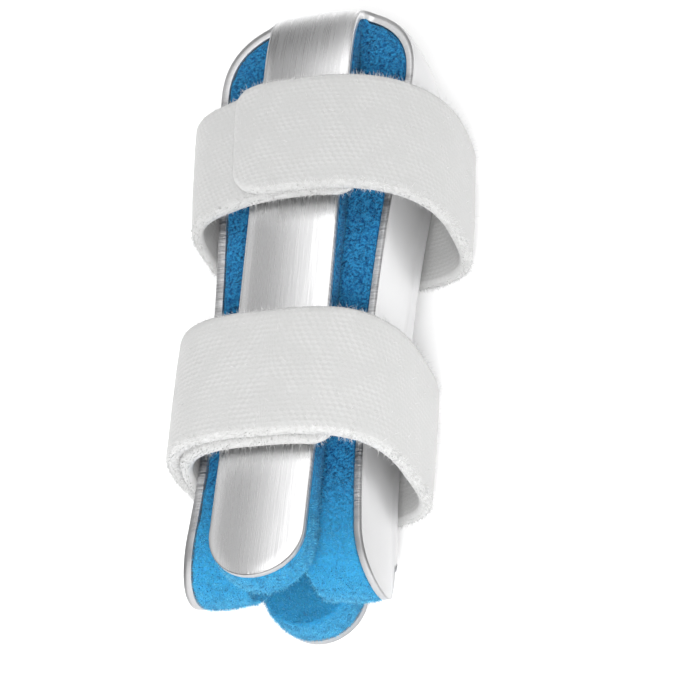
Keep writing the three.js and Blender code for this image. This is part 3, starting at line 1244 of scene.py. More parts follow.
@dataclass(frozen=True)
class ShearedEdge:
    """Cut edge of the aluminium: pale, with fine lines across where it was sheared straight, and
    painted shade darkening the prongs' ends.

    Attributes:
        effects: The shared node groups.
        dark: Colour of the lines.
        light: Colour between them.
        painted_shade: Darker colour painted on the prongs' ends as shade.
        depth: Depth of the lines in metres.
        fineness: Lines to a millimetre, along the edge and across it.
        straight_start: How straight the edge is where its lines set in and are full.
        round_share: How much of the lines a turning edge shows.
        end_start: Y in metres where the painted shade on the ends sets in.
    """

    effects: EffectGroups
    dark: Colour = (0.44, 0.44, 0.45, 1)
    light: Colour = (0.82, 0.82, 0.825, 1)
    painted_shade: Colour = (0.44, 0.44, 0.445, 1)
    depth: float = 0.0001
    fineness: tuple[float, float] = (3.2, 0.35)
    straight_start: tuple[float, float] = (0.3, 0.9)
    round_share: float = 0.15
    end_start: tuple[float, float] = (-0.030, -0.042)

    def build(self) -> bpy.types.Material:
        """Makes the material.

        Returns:
            The material, which reads edge_pattern.
        """
        material, sketch = start_material("sheared_edge")
        pattern = sketch.attribute("edge_pattern")
        streaks = sketch.group(self.effects.streaks, pattern, *self.fineness)
        straight = sketch.remap(
            sketch.parts(pattern)[2], *self.straight_start, self.round_share, 1.0
        )
        lines = sketch.maths("MULTIPLY", streaks.outputs[0], straight)
        # Painted shade: the cut edge darkens towards the prongs' ends.
        painted_shading_at_end = sketch.remap(sketch.parts(sketch.place())[1], *self.end_start, 0.0, 1.0)
        light = sketch.mix(painted_shading_at_end, self.light, self.painted_shade)
        bump = sketch.node("Bump", {"Strength": 0.8, "Distance": self.depth, "Height": lines})
        shader = sketch.node(
            "BsdfPrincipled",
            {
                "Base Color": sketch.mix(lines, light, self.dark),
                "Metallic": 1.0,
                "Roughness": 0.42,
                "Normal": bump.outputs[0],
            },
        )
        sketch.surface(shader)
        return material


@dataclass(frozen=True)
class SoftFoam:
    """Blue open-cell foam, with painted light that makes it paler towards its open end.

    Attributes:
        effects: The shared node groups.
        deep: Colour of its darkest clouds.
        body: Colour of its lighter clouds.
        bright: Colour of its grain.
        painted_light_colour: Paler colour painted at the open end as light.
        painted_light_share: How much of that painted light the open end takes.
        end_start: Y in metres where the painted light sets in.
        depth: Depth of grain and pores in metres.
        grain_scale: Scale of the grain.
        cloud_scale: Scale of the clouds.
        pore_scale: Scale of the pores.
    """

    effects: EffectGroups
    deep: Colour = (0.0004, 0.014, 0.06, 1)
    body: Colour = (0.002, 0.042, 0.14, 1)
    bright: Colour = (0.025, 0.22, 0.44, 1)
    painted_light_colour: Colour = (0.024, 0.205, 0.345, 1)
    painted_light_share: float = 0.9
    end_start: tuple[float, float] = (-0.029, -0.045)
    depth: float = 0.00018
    grain_scale: float = 2600.0
    cloud_scale: float = 420.0
    pore_scale: float = 1900.0

    def build(self) -> bpy.types.Material:
        """Makes the material.

        Returns:
            The material.
        """
        material, sketch = start_material("soft_foam")
        place = sketch.place()
        mottle = sketch.group(self.effects.mottle, place, self.grain_scale, self.cloud_scale)
        grain = mottle.outputs["Grain"]
        cells = sketch.node("TexVoronoi", {"Vector": place, "Scale": self.pore_scale})
        pores = sketch.remap(cells.outputs["Distance"], 0.0, 0.55, 0.0, 1.0)
        # Painted light: the foam turns paler towards the open end.
        painted_shading_at_end = sketch.remap(sketch.parts(place)[1], *self.end_start, 0.0, self.painted_light_share)
        base = sketch.mix(mottle.outputs["Cloud"], self.deep, self.body)
        base = sketch.mix(painted_shading_at_end, base, self.painted_light_colour)
        colour = sketch.mix(grain, base, self.bright)
        height = sketch.maths("MULTIPLY_ADD", pores, 0.5, grain)
        bump = sketch.node("Bump", {"Strength": 0.4, "Distance": self.depth, "Height": height})
        shader = sketch.node(
            "BsdfPrincipled",
            {
                "Base Color": colour,
                "Roughness": 0.95,
                "Subsurface Weight": 0.3,
                "Subsurface Radius": (0.3, 0.7, 1.0),
                "Subsurface Scale": 0.0022,
                "Specular IOR Level": 0.15,
                "Sheen Weight": 0.12,
                "Sheen Roughness": 0.5,
                "Sheen Tint": (0.35, 0.7, 1.0, 1),
                "Normal": bump.outputs[0],
            },
        )
        sketch.surface(shader)
        return material


@dataclass(frozen=True)
class Fibre:
    """Finish of single short fibres, with painted shade that can darken them away from the open
    end.

    Attributes:
        name: The material's name.
        root: Darkest colour.
        tip: Lightest colour.
        share_under_painted_shade: How much of the lightest colour the painted shade leaves away
            from the open end.
        end_start: Y in metres where that loss is full, and where it begins.
    """

    name: str
    root: Colour
    tip: Colour
    share_under_painted_shade: float = 1.0
    end_start: tuple[float, float] = (-0.045, -0.029)

    def build(self) -> bpy.types.Material:
        """Makes the material.

        Returns:
            The material.
        """
        material, sketch = start_material(self.name)
        place = sketch.place()
        tone = sketch.node("TexNoise", {"Vector": place, "Scale": 900.0, "Detail": 2.0}).outputs[0]
        # Painted shade: fibres lose their lightest colour away from the open end.
        lit = sketch.remap(sketch.parts(place)[1], *self.end_start, 1.0, self.share_under_painted_shade)
        share = sketch.maths("MULTIPLY", sketch.remap(tone, 0.35, 0.65, 0.35, 1), lit)
        shader = sketch.node(
            "BsdfPrincipled",
            {
                "Base Color": sketch.mix(share, self.root, self.tip),
                "Roughness": 0.8,
                "Specular IOR Level": 0.2,
                "Sheen Weight": 0.1,
            },
        )
        sketch.surface(shader)
        return material


@dataclass(frozen=True)
class LoopTape:
    """White hook-and-loop tape: rows of small slanting stitches under a soft pile.

    Attributes:
        effects: The shared node groups.
        shade: Colour between the stitches.
        body: Colour of the stitches.
        pitch: Distance between their rows in millimetres.
        slant: How far a stitch leans for each millimetre across.
        dash_share: Pitch of the rows as a share of the stitches' own.
        chevron: X in metres between which the lower strap's slant turns round.
        between: Y in metres that parts the two straps.
        depth: Depth of the stitches in metres.
    """

    effects: EffectGroups
    shade: Colour = (0.385, 0.385, 0.382, 1)
    body: Colour = (0.445, 0.445, 0.442, 1)
    pitch: float = 0.78
    slant: float = 0.5
    dash_share: float = 0.8
    chevron: tuple[float, float] = (-0.0006, 0.0021)
    between: tuple[float, float] = (-0.002, 0.002)
    depth: float = 0.00006

    def build(self) -> bpy.types.Material:
        """Makes the material.

        Returns:
            The material, which reads tape_pattern.
        """
        material, sketch = start_material("loop_tape")
        place = sketch.place()
        mottle = sketch.group(self.effects.mottle, place, 3200.0, 260.0)
        grain, cloud = mottle.outputs["Grain"], mottle.outputs["Cloud"]
        run, side, _ = sketch.parts(sketch.attribute("tape_pattern"))
        run = sketch.maths("MULTIPLY_ADD", cloud, 0.25, run)
        turn = 2 * math.pi / self.pitch
        rows = sketch.maths("COSINE", sketch.maths("MULTIPLY", side, turn))
        spot = sketch.parts(place)
        turned = sketch.remap(spot[0], *self.chevron, -self.slant, self.slant)
        on_upper = sketch.remap(spot[1], *self.between, 0.0, 1.0)
        slant = sketch.mix_value(on_upper, turned, self.slant)
        leaning = sketch.maths("MULTIPLY_ADD", side, slant, run)
        dashes = sketch.maths("COSINE", sketch.maths("MULTIPLY", leaning, turn * self.dash_share))
        worn = sketch.remap(cloud, 0.0, 1.0, 0.30, 1.0)
        woven = sketch.remap(sketch.maths("ADD", rows, dashes), -1.2, 1.4, 0.0, 1.0)
        stitches = sketch.maths("MULTIPLY", woven, worn)
        soft_grain = sketch.maths("MULTIPLY", grain, 0.45)
        height = sketch.maths("ADD", stitches, soft_grain)
        tone = sketch.maths("MULTIPLY_ADD", stitches, 0.55, soft_grain)
        bump = sketch.node("Bump", {"Strength": 0.6, "Distance": self.depth, "Height": height})
        shader = sketch.node(
            "BsdfPrincipled",
            {
                "Base Color": sketch.mix(tone, self.shade, self.body),
                "Roughness": 0.9,
                "Subsurface Weight": 0.6,
                "Subsurface Radius": (1.0, 1.0, 1.0),
                "Subsurface Scale": 0.0028,
                "Specular IOR Level": 0.2,
                "Sheen Weight": 0.2,
                "Sheen Roughness": 0.6,
                "Normal": bump.outputs[0],
            },
        )
        sketch.surface(shader)
        return material


@dataclass(frozen=True)
class FibreCoat:
    """How a surface is covered with short fibres.

    Attributes:
        count: Number of fibres.
        length: Mean length.
        width: Width at the root.
        lean: How far fibres lean to a side, as a share of their length.
        seed: Seed of the random draws.
    """

    count: int
    length: float
    width: float
    lean: float
    seed: int


@dataclass
class SplintPlate:
    """The stamped aluminium plate with the strip that folds over the fingertip."""

    form: SheetForm
    origin: np.ndarray
    rim: RimStyle = RimStyle(rounding=0.10, reach=1.9, roll=0.16, arc_steps=3, flat_steps=2)

    def build(
        self, grid: SheetGrid, face: bpy.types.Material, edge: bpy.types.Material
    ) -> bpy.types.Object:
        """Builds the plate.

        Args:
            grid: The grid of the sheet.
            face: Finish of the brushed faces.
            edge: Finish of the cut edge.

        Returns:
            The piece, which stands for the CAD plate.
        """
        body = LayeredBody.between(
            grid, self.form.metal(0), self.form.metal(self.form.thickness), self.rim
        )
        pattern = np.column_stack([body.flat_pattern, np.zeros(len(body.points))])
        piece = make_object(
            "stamped_plate",
            body.points + self.origin,
            body.triangles,
            [face, edge],
            np.where(body.finish == 1, 1, 0),
            {
                "flat_pattern": pattern,
                "edge_pattern": body.edge_pattern,
                "brush_direction": body.brush,
            },
        )
        piece.modifiers.new("even_normals", "WEIGHTED_NORMAL").keep_sharp = True
        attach(piece, BODY)
        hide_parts("splint_plate")
        return piece


@dataclass
class FoamLining:
    """The foam that lines the trough, the cup and the strip, with its soft nap.

    Attributes:
        form: The sheet's form.
        origin: Where the form's origin lies in the part.
        rim: How the foam's edge is finished.
        gap: Gap left between plate and foam.
        lumps: Height of the broad unevenness of its face.
        lump_scale: How fast that changes over a millimetre.
        cells: Height of the fine unevenness.
        cell_scale: How fast that changes over a millimetre.
        nap: How the nap's fibres stand.
        open_density: How much denser the nap is at the open end.
        rim_density: How much denser it is on the edge.
    """

    form: SheetForm
    origin: np.ndarray
    rim: RimStyle = RimStyle(
        rounding=0.55, reach=2.6, roll=0.0, arc_steps=4, flat_steps=8, bulge=0.12
    )
    gap: float = 0.08
    lumps: float = 0.16
    lump_scale: float = 0.35
    cells: float = 0.10
    cell_scale: float = 1.6
    nap: FibreCoat = FibreCoat(count=46000, length=0.45, width=0.08, lean=0.75, seed=11)
    open_density: float = 3.0
    rim_density: float = 1.8

    def build(
        self, grid: SheetGrid, foam: bpy.types.Material, fibre: bpy.types.Material
    ) -> list[bpy.types.Object]:
        """Builds the lining and its nap.

        Args:
            grid: The grid of the sheet.
            foam: Finish of the foam.
            fibre: Finish of the nap's fibres.

        Returns:
            The lining, which stands for the CAD one, and the nap.
        """
        outer = self.form.metal(self.form.thickness + self.gap)
        body = LayeredBody.between(grid, outer, self.form.foam_face(), self.rim)
        normals = vertex_normals(body.points, body.triangles)
        hidden = np.zeros(len(body.points), bool)
        hidden[body.triangles[body.finish == 0].ravel()] = True
        moved = body.points.copy()
        for index in np.flatnonzero(~hidden):
            moved[index] += normals[index] * self.rise_at(Vector(body.points[index]))
        piece = make_object("soft_lining", moved + self.origin, body.triangles, [foam])
        shown = body.triangles[body.finish > 0]
        along = moved[shown][:, :, 1].mean(axis=1)
        density = np.where(along < self.form.wing_round_centre, self.open_density, 1.0)
        density *= np.where(body.finish[body.finish > 0] == 1, self.rim_density, 1.0)
        nap = fibres("foam_nap", moved + self.origin, shown, self.nap, fibre, density)
        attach(piece, BODY)
        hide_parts("foam_lining")
        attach(nap, BODY)
        return [piece, nap]

    def rise_at(self, spot: Vector) -> float:
        """Height of the face's unevenness at a point, over its even form."""
        rise = self.lumps * noise.fractal(spot * self.lump_scale, 1.0, 2.0, 2)
        return rise + self.cells * noise.noise(spot * self.cell_scale)


def vertex_normals(points: np.ndarray, triangles: np.ndarray) -> np.ndarray:
    """Unit normal at each point.

    Args:
        points: The points.
        triangles: The triangles between them.

    Returns:
        The normals, weighted by the triangles round each point.
    """
    corners = points[triangles]
    normal = np.cross(corners[:, 1] - corners[:, 0], corners[:, 2] - corners[:, 0])
    total = np.zeros_like(points)
    for corner in range(3):
        np.add.at(total, triangles[:, corner], normal)
    return unit(total)


def fibres(
    name: str,
    points: np.ndarray,
    triangles: np.ndarray,
    coat: FibreCoat,
    material: bpy.types.Material,
    weights: np.ndarray,
) -> bpy.types.Object:
    """Covers triangles with short pointed fibres, each a closed three-sided spike.

    Args:
        name: The piece's name.
        points: Points of the surface in millimetres.
        triangles: Triangles that carry fibres.
        coat: How the fibres stand.
        material: Their finish.
        weights: How densely each triangle is covered.

    Returns:
        The piece.
    """
    draw = np.random.default_rng(coat.seed)
    corners = points[triangles]
    cross = np.cross(corners[:, 1] - corners[:, 0], corners[:, 2] - corners[:, 0])
    area = np.linalg.norm(cross, axis=1) * weights
    chosen = draw.choice(len(triangles), coat.count, p=area / area.sum())
    split = np.sort(draw.random((coat.count, 2)), axis=1)
    shares = np.column_stack([split[:, 0], split[:, 1] - split[:, 0], 1 - split[:, 1]])
    root = (corners[chosen] * shares[:, :, None]).sum(axis=1)
    normal = unit(cross[chosen])
    side = draw.normal(size=(coat.count, 3))
    side = unit(side - normal * (side * normal).sum(axis=1)[:, None])
    lean = coat.lean * draw.random((coat.count, 1))
    way = unit(normal + side * lean)
    length = coat.length * (0.5 + draw.random((coat.count, 1)))
    tip = root + way * length
    first = unit(np.cross(way, side + 0.01))
    second = np.cross(way, first)
    half = coat.width / 2
    base = root - normal * half
    back, aside = base - first * half * 0.5, second * half * 0.87
    spikes = np.stack([base + first * half, back + aside, back - aside, tip], axis=1)
    first_corner = np.arange(coat.count)[:, None] * 4
    pattern = np.array([[0, 2, 1], [0, 1, 3], [1, 2, 3], [2, 0, 3]])
    faces = (first_corner[:, :, None] + pattern[None]).reshape(-1, 3)
    return make_object(name, spikes.reshape(-1, 3), faces, [material])


class StrapPlace(Enum):
    """Which of the two straps."""

    UPPER = "upper"
    LOWER = "lower"


@dataclass(frozen=True)
class Winding:
    """How a strap is wound: turns in degrees from the top, and layers inside its ring."""

    turns: tuple[float, ...]
    depths: tuple[float, ...]

    def depth_at(self, turn: float) -> float:
        """Number of layers inside the ring at a turn.

        Args:
            turn: The turn in degrees.

        Returns:
            0 on the ring and 1 a whole layer inside it.
        """
        index = int(clamp(bisect.bisect_right(self.turns, turn) - 1, 0, len(self.turns) - 2))
        share = (turn - self.turns[index]) / (self.turns[index + 1] - self.turns[index])
        return lerp(self.depths[index], self.depths[index + 1], smooth(share))


@dataclass
class Strap:
    """A hook-and-loop strap wound once round the splint, with its end lapped.

    Attributes:
        place: Which strap it is.
        form: The sheet's form.
        origin: Where the form's origin lies in the part.
        middle: Y of the strap's middle.
        stand_off: How far it stands off the plate's sides.
        shift: How far its ring lies to the right.
        taper: How much narrower the ring is at the strap's lower side.
        lean: How far the ring's lower side lies to the right of its upper side.
        top_fullness: Power of the superellipse over the top.
        winding: How it is wound.
        drift: How far a whole layer inside the ring lies aside.
        free_corners: Radii of the free end's lower and upper corners.
        seed: Seed of its waves and fibres.
        edge_round: Radius of its puffed edges.
        crown: How far its face is pillowed.
        end_thinness: Share of the thickness left at its pressed ends.
        end_taper: Length over which the ends thin out.
        wave_height: Height of the slow waves of its face.
        wave_scale: How fast they change along and across it.
        fringe_zone: How far in from its sides the loose fibres stand.
        fringe_depth: How far down the edge they stand.
        upper_fringe: How dense they are on the upper side, against the lower one.
        face_depth: How deep the face reaches, for the few fibres on it.
        face_fringe: How dense those are.
    """

    place: StrapPlace
    form: SheetForm
    origin: np.ndarray
    middle: float
    stand_off: float
    shift: float
    taper: float
    lean: float
    top_fullness: float
    winding: Winding
    drift: float
    free_corners: tuple[float, float]
    seed: int
    width: float = 20.0
    thickness: float = 1.8
    slack: float = 0.25
    lap_gap: float = 0.04
    bottom_fullness: float = 3.8
    waist_share: float = 0.46
    rest_flatness: float = 0.3
    edge_round: float = 0.88
    crown: float = 0.10
    hidden_corner: float = 4.0
    end_thinness: float = 0.5
    end_taper: float = 7.0
    end_rows: tuple[float, ...] = (0.03, 0.1, 0.22, 0.38)
    row_start: float = 0.6
    row_pitch: float = 0.55
    face_steps: int = 34
    back_steps: int = 6
    arc_steps: int = 6
    wave_height: float = 0.10
    wave_scale: tuple[float, float] = (0.12, 0.16)
    fringe_count: int = 4400
    fringe_length: float = 0.85
    fringe_width: float = 0.055
    fringe_lean: float = 1.5
    fringe_zone: float = 0.8
    fringe_depth: float = 1.2
    upper_fringe: float = 0.35
    face_depth: float = 0.2
    face_fringe: float = 0.008

    @cached_property
    def ring_size(self) -> tuple[float, float]:
        """Half-width and height of the ring that clears the plate under it."""
        metal = self.form.metal(0)
        places = np.linspace(self.middle - self.width / 2, self.middle + self.width / 2, 73)
        widest = max(self.form.trough_half(metal, y) for y in places) + self.form.wall_bulge
        highest = max(self.form.front_height(metal, y) for y in places)
        step = self.thickness + self.form.part_gap
        return widest + self.stand_off + self.thickness, highest + 2 * step + self.slack

    def ring_point(self, turn: float, inset: float, side: float) -> tuple[float, float]:
        """A point on the ring or inside it.

        Args:
            turn: The turn in degrees from the top.
            inset: Distance inside the ring.
            side: Place across the strap.

        Returns:
            The point's X and Z.
        """
        half_width, height = self.ring_size
        half = half_width - self.taper * (0.5 - side / self.width)
        angle = math.radians(turn)
        across, upward = math.sin(angle), math.cos(angle)
        is_top = upward >= 0
        power = 2 / (self.top_fullness if is_top else self.bottom_fullness)
        waist = self.waist_share * height
        x = math.copysign((half - inset) * abs(across) ** power, across)
        reach = height - waist - inset if is_top else waist + self.rest_flatness - inset
        z = waist + math.copysign(reach * abs(upward) ** power, upward)
        lean = self.lean * (0.5 - side / self.width)
        return x + self.shift + lean, z if is_top else max(z, inset)

    def _track(self) -> tuple[np.ndarray, np.ndarray]:
        """Measures the strap's run.

        Returns:
            Turns along the strap, and their distances from its free end.
        """
        step = self.thickness + self.lap_gap
        turns = np.arange(self.winding.turns[0], self.winding.turns[-1] + 0.25, 0.5)
        spots = np.array(
            [self.ring_point(turn, step * self.winding.depth_at(turn), 0) for turn in turns]
        )
        gone = np.concatenate([[0], np.cumsum(np.linalg.norm(np.diff(spots, axis=0), axis=1))])
        return turns, gone

    def _section(self, low: float, high: float) -> list[tuple[float, float]]:
        """Closed section of the strap.

        Args:
            low: Place of its lower side.
            high: Place of its upper side.

        Returns:
            Places across and depths below the outer face.
        """
        radius = min(self.edge_round, self.thickness / 2, (high - low) / 2)
        flat = self.thickness - 2 * radius
        middle, half = (low + high) / 2, max((high - low) / 2, TINY)
        section = []
        for step in range(self.face_steps + 1):
            side = lerp(low + radius, high - radius, step / self.face_steps)
            pillow = self.crown * (1 - ((side - middle) / half) ** 2)
            section.append((side, -pillow))
        for step in range(1, self.arc_steps + 1):
            angle = step / self.arc_steps * math.pi
            deep = radius + radius * -math.cos(angle) + (flat if angle > QUARTER else 0)
            section.append((high - radius + radius * math.sin(angle), deep))
        for step in range(1, self.back_steps + 1):
            side = lerp(high - radius, low + radius, step / self.back_steps)
            section.append((side, self.thickness))
        for step in range(1, self.arc_steps):
            angle = step / self.arc_steps * math.pi
            deep = radius + radius * math.cos(angle) + (flat if angle < QUARTER else 0)
            section.append((low + radius - radius * math.sin(angle), deep))
        return section

    @staticmethod
    def _corner_cut(distance: float, radius: float) -> float:
        """How far a rounded corner takes a side in.

        Args:
            distance: Distance from the strap's end.
            radius: The corner's radius.

        Returns:
            How far the side lies inside the strap's own.
        """
        if distance >= radius:
            return 0.0
        return radius - math.sqrt(max(0.0, radius**2 - (radius - distance) ** 2))

    def _end_share(self, distance: float) -> float:
        """Share of the full thickness at a distance from an end, which is pressed thin."""
        nose = math.sqrt(clamp(distance / self.edge_round))
        return nose * lerp(self.end_thinness, 1, smooth(distance / self.end_taper))

    def _surface(self) -> tuple[np.ndarray, np.ndarray, float]:
        """Places every point of the tape.

        Returns:
            Points by row and corner, their distance along, place across and depth, and the
            strap's flat length.
        """
        turns, gone = self._track()
        length = float(gone[-1])
        step = self.thickness + self.lap_gap
        inner = np.arange(self.row_start, length - self.row_start, self.row_pitch).tolist()
        last = [length - place for place in reversed(self.end_rows)]
        flank = self.width / 2
        low_radius, high_radius = self.free_corners
        slow_along, slow_across = self.wave_scale
        points, pattern = [], []
        for distance in [*self.end_rows, *inner, *last]:
            turn = float(np.interp(distance, gone, turns))
            depth = self.winding.depth_at(turn)
            left = length - distance
            hidden = self._corner_cut(left, self.hidden_corner)
            low = -flank + self._corner_cut(distance, low_radius) + hidden
            high = flank - self._corner_cut(distance, high_radius) - hidden
            thin = self._end_share(distance) * self._end_share(left)
            section = self._section(low, high)
            for side, deep in section:
                pressed = self.thickness - (self.thickness - deep) * thin
                spot = Vector((distance * slow_along, side * slow_across, self.seed))
                wave = self.wave_height * noise.noise(spot)
                x, z = self.ring_point(turn, step * depth + pressed - wave, side)
                points.append((x, self.middle + side + self.drift * depth, z))
            pattern.append([(distance, side, deep) for side, deep in section])
        shape = (len(pattern), -1, 3)
        return np.array(points).reshape(shape), np.array(pattern), length

    @staticmethod
    def _skin(rows: int, corners: int) -> np.ndarray:
        """Triangles of a closed tube with both ends filled.

        Args:
            rows: Number of sections.
            corners: Points on each section.

        Returns:
            The triangles.
        """
        grid = np.arange(rows * corners).reshape(rows, corners)
        after = np.roll(grid, -1, axis=1)
        quads = np.stack([grid[:-1], grid[1:], after[1:], after[:-1]], axis=-1).reshape(-1, 4)
        first, last = grid[0], grid[-1]
        fans = [[first[0], first[k], first[k + 1]] for k in range(1, corners - 1)]
        fans += [[last[0], last[k + 1], last[k]] for k in range(1, corners - 1)]
        return np.concatenate([quads[:, [0, 1, 2]], quads[:, [0, 2, 3]], fans])

    def _fringe_weights(self, pattern: np.ndarray) -> np.ndarray:
        """How densely each triangle carries loose fibres.

        Args:
            pattern: Distance, side and depth at the triangles' corners.

        Returns:
            A weight for each triangle: most on the lower edge, a little on the face.
        """
        side, deep = pattern[:, :, 1], pattern[:, :, 2].mean(axis=1)
        weights = (np.abs(side).mean(axis=1) > self.width / 2 - self.fringe_zone).astype(float)
        weights *= np.where(side.mean(axis=1) < 0, 1.0, self.upper_fringe)
        weights *= deep < self.fringe_depth
        return weights + (deep < self.face_depth) * self.face_fringe + TINY

    def build(self, tape: bpy.types.Material, pile: bpy.types.Material) -> list[bpy.types.Object]:
        """Builds the strap and the loose fibres along its edges.

        Args:
            tape: Finish of the tape.
            pile: Finish of its loose fibres.

        Returns:
            The strap, which stands for the CAD one, and its fringe.
        """
        points, pattern, length = self._surface()
        triangles = self._skin(*points.shape[:2])
        placed = points.reshape(-1, 3) + self.origin
        flat_pattern = pattern.reshape(-1, 3)
        name = f"{self.place.value}_tape"
        piece = make_object(
            name, placed, triangles, [tape], attributes={"tape_pattern": flat_pattern}
        )
        fringe = fibres(
            f"{self.place.value}_fringe",
            placed,
            triangles,
            FibreCoat(
                self.fringe_count,
                self.fringe_length,
                self.fringe_width,
                self.fringe_lean,
                self.seed,
            ),
            pile,
            self._fringe_weights(flat_pattern[triangles]),
        )
        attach(piece, BODY)
        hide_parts(f"{self.place.value}_strap")
        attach(fringe, BODY)
        LOG.info("%s: flat %.1f by %.1f mm", name, self.width, length)
        return [piece, fringe]


class Ramp(NamedTuple):
    """A smooth change of the surround's brightness along one axis of the view direction."""

    axis: int
    start: float
    end: float
    low: float
    high: float

    def put(
        self, sketch: NodeSketch, way: bpy.types.bpy_prop_collection
    ) -> bpy.types.NodeSocket:
        """Adds the ramp to a tree; way holds the direction's three parts."""
        return sketch.remap(way[self.axis], self.start, self.end, self.low, self.high)


class Lamp(NamedTuple):
    """A square area lamp that points at the origin, in metres and watts."""

    name: str
    energy: float
    size: float
    place: tuple[float, float, float]
    is_reflected: bool


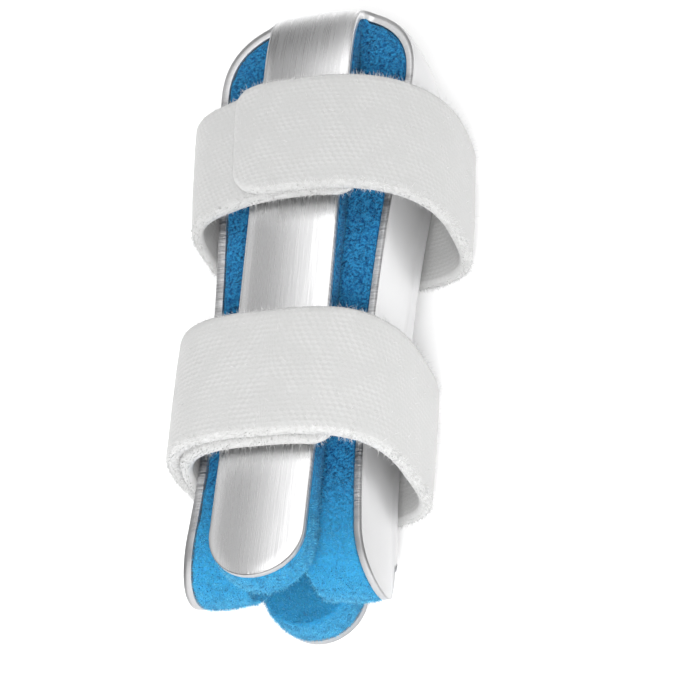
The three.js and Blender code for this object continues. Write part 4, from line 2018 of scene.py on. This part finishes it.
@dataclass(frozen=True)
class Studio:
    """Pale floor, soft light and the camera.

    Attributes:
        target: What the camera looks at, in millimetres.
        back: Direction from there to the camera.
        right: Direction to the right in the picture.
        distance: Distance to the camera in millimetres.
        lens: Focal length in millimetres.
        sensor: Width of the sensor in millimetres.
        floor_half: Half of the floor's side in metres.
        card: Overhead light, rising to the right, which the brushed metal mirrors.
        right_gap: Its dark part at the right.
        left_glow: A weak light far left.
        gap_behind: Share of it that is left behind.
        gap_start: Darkening where the camera stands: its beginning.
        gap_end: The same: its end.
        horizon: Pale band low round the splint.
        front: Light from the open end's side.
        lamps: The lamps.
    """

    target: tuple[float, float, float] = (2.54, -3.49, 12.04)
    back: tuple[float, float, float] = (0.3191, -0.4708, 0.8225)
    right: tuple[float, float, float] = (0.9434, 0.0748, -0.3232)
    distance: float = 352.43
    lens: float = 122.7
    sensor: float = 36.0
    floor_half: float = 3.0
    card: Ramp = Ramp(0, -0.44, -0.10, 0.50, 1.75)
    right_gap: Ramp = Ramp(0, 0.10, 0.50, 0.0, -0.95)
    left_glow: Ramp = Ramp(0, -0.66, -0.48, 0.30, 0.0)
    gap_behind: Ramp = Ramp(1, 0.50, 0.70, 1.0, 0.26)
    gap_start: Ramp = Ramp(1, -0.52, -0.34, 0.0, -0.75)
    gap_end: Ramp = Ramp(1, -0.24, -0.04, 0.0, 0.75)
    horizon: Ramp = Ramp(2, 0.02, 0.34, 0.42, 0.0)
    front: Ramp = Ramp(1, -0.75, -0.25, 0.60, 0.0)
    lamps: tuple[Lamp, ...] = (
        Lamp("soft_lamp", 0.4, 0.6, (0.2, 0.25, 0.75), True),
        Lamp("front_lamp", 2.35, 0.2, (0.12, -0.30, 0.38), False),
    )

    def camera(self) -> None:
        """Adds the camera at the photograph's angle."""
        back = Vector(self.back).normalized()
        right = (Vector(self.right) - back * Vector(self.right).dot(back)).normalized()
        up = back.cross(right)
        data = bpy.data.cameras.new("camera")
        data.lens = self.lens
        data.sensor_width = self.sensor
        data.clip_start = 0.01
        camera = bpy.data.objects.new("camera", data)
        place = (Vector(self.target) + back * self.distance) * MM
        turn = Matrix((right, up, back)).transposed().to_4x4()
        camera.matrix_world = Matrix.Translation(place) @ turn
        bpy.context.scene.collection.objects.link(camera)
        bpy.context.scene.camera = camera

    def floor(self) -> None:
        """Adds the pale floor."""
        material, sketch = start_material("pale_floor")
        shader = sketch.node(
            "BsdfPrincipled",
            {
                "Base Color": (0.93, 0.93, 0.93, 1),
                "Roughness": 0.85,
                "Emission Color": (1, 1, 1, 1),
                "Emission Strength": 0.05,
            },
        )
        sketch.surface(shader)
        half = self.floor_half / MM
        corners = np.array([[-half, -half, 0], [half, -half, 0], [half, half, 0], [-half, half, 0]])
        floor = make_object("floor", corners, np.array([[0, 1, 2, 3]]), [material])
        floor.location.z = FLOOR_DROP

    def surround(self) -> None:
        """Adds the soft surround, brighter and darker by direction."""
        world = bpy.data.worlds.new("soft_surround")
        world.use_nodes = True
        bpy.context.scene.world = world
        sketch = NodeSketch(world.node_tree)
        way = sketch.parts(sketch.node("TexCoord").outputs["Generated"])

        def total(*ramps: Ramp) -> bpy.types.NodeSocket:
            """Sum of some ramps."""
            value = ramps[0].put(sketch, way)
            for ramp in ramps[1:]:
                value = sketch.maths("ADD", value, ramp.put(sketch, way))
            return value

        card = total(self.card, self.right_gap, self.left_glow)
        at_camera = sketch.maths("ADD", total(self.gap_start, self.gap_end), 1.0)
        gaps = sketch.maths("MULTIPLY", self.gap_behind.put(sketch, way), at_camera)
        above = sketch.maths("MULTIPLY", card, gaps)
        strength = sketch.maths("ADD", above, self.horizon.put(sketch, way))
        strength = sketch.maths("ADD", strength, self.front.put(sketch, way))
        sketch.surface(
            sketch.node("Background", {"Color": (1, 1, 1, 1), "Strength": strength}),
            "OutputWorld",
        )
        bpy.context.scene.view_settings.view_transform = "Standard"

    def light(self) -> None:
        """Adds the lamps."""
        for name, energy, size, place, is_reflected in self.lamps:
            lamp = bpy.data.lights.new(name, "AREA")
            lamp.energy = energy
            lamp.size = size
            holder = bpy.data.objects.new(name, lamp)
            holder.location = place
            holder.rotation_euler = Vector(place).to_track_quat("Z", "Y").to_euler()
            holder.visible_glossy = is_reflected
            bpy.context.scene.collection.objects.link(holder)

    def build(self) -> None:
        """Sets the whole studio up."""
        self.camera()
        self.floor()
        self.surround()
        self.light()


def main() -> None:
    """Builds and dresses the splint."""
    logging.basicConfig(level=logging.INFO, format="%(name)s: %(message)s")
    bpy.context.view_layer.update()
    Studio().build()
    low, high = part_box("splint_plate")
    origin = np.array([(low[0] + high[0]) / 2 / MM, 0.0, 0.0])
    form = SheetForm()
    grid = SheetGrid(form)
    grid.fill()
    effects = EffectGroups(streak_group(), mottle_group())
    tape = LoopTape(effects).build()
    pile = Fibre("loose_pile", (0.50, 0.50, 0.50, 1), (0.68, 0.68, 0.68, 1)).build()
    pieces = [
        SplintPlate(form, origin).build(
            grid, BrushedFace(effects).build(), ShearedEdge(effects).build()
        )
    ]
    # The nap keeps 0.4 of its lightest colour away from the open end: painted shade.
    nap = Fibre("foam_fibre", (0.003, 0.07, 0.20, 1), (0.09, 0.45, 0.68, 1), 0.4).build()
    pieces += FoamLining(form, origin).build(grid, SoftFoam(effects).build(), nap)
    upper = Strap(
        StrapPlace.UPPER,
        form,
        origin,
        middle=20.7,
        stand_off=3.2,
        shift=0.3,
        taper=0.6,
        lean=0.9,
        top_fullness=2.4,
        winding=Winding((-28, 292, 330, 388), (0, 0, 1, 1)),
        drift=0.0,
        free_corners=(7.5, 3.5),
        seed=3,
    )
    lower = Strap(
        StrapPlace.LOWER,
        form,
        origin,
        middle=-20.0,
        stand_off=2.6,
        shift=0.1,
        taper=0.0,
        lean=0.0,
        top_fullness=3.0,
        winding=Winding((-94, 210, 252, 395), (0, 0, 1, 1)),
        drift=-0.6,
        free_corners=(2.5, 5.0),
        seed=7,
    )
    for strap in (upper, lower):
        pieces += strap.build(tape, pile)
    for piece in pieces:
        LOG.info("%s: %d faces", piece.name, len(piece.data.polygons))


if __name__ == "__main__":
    main()
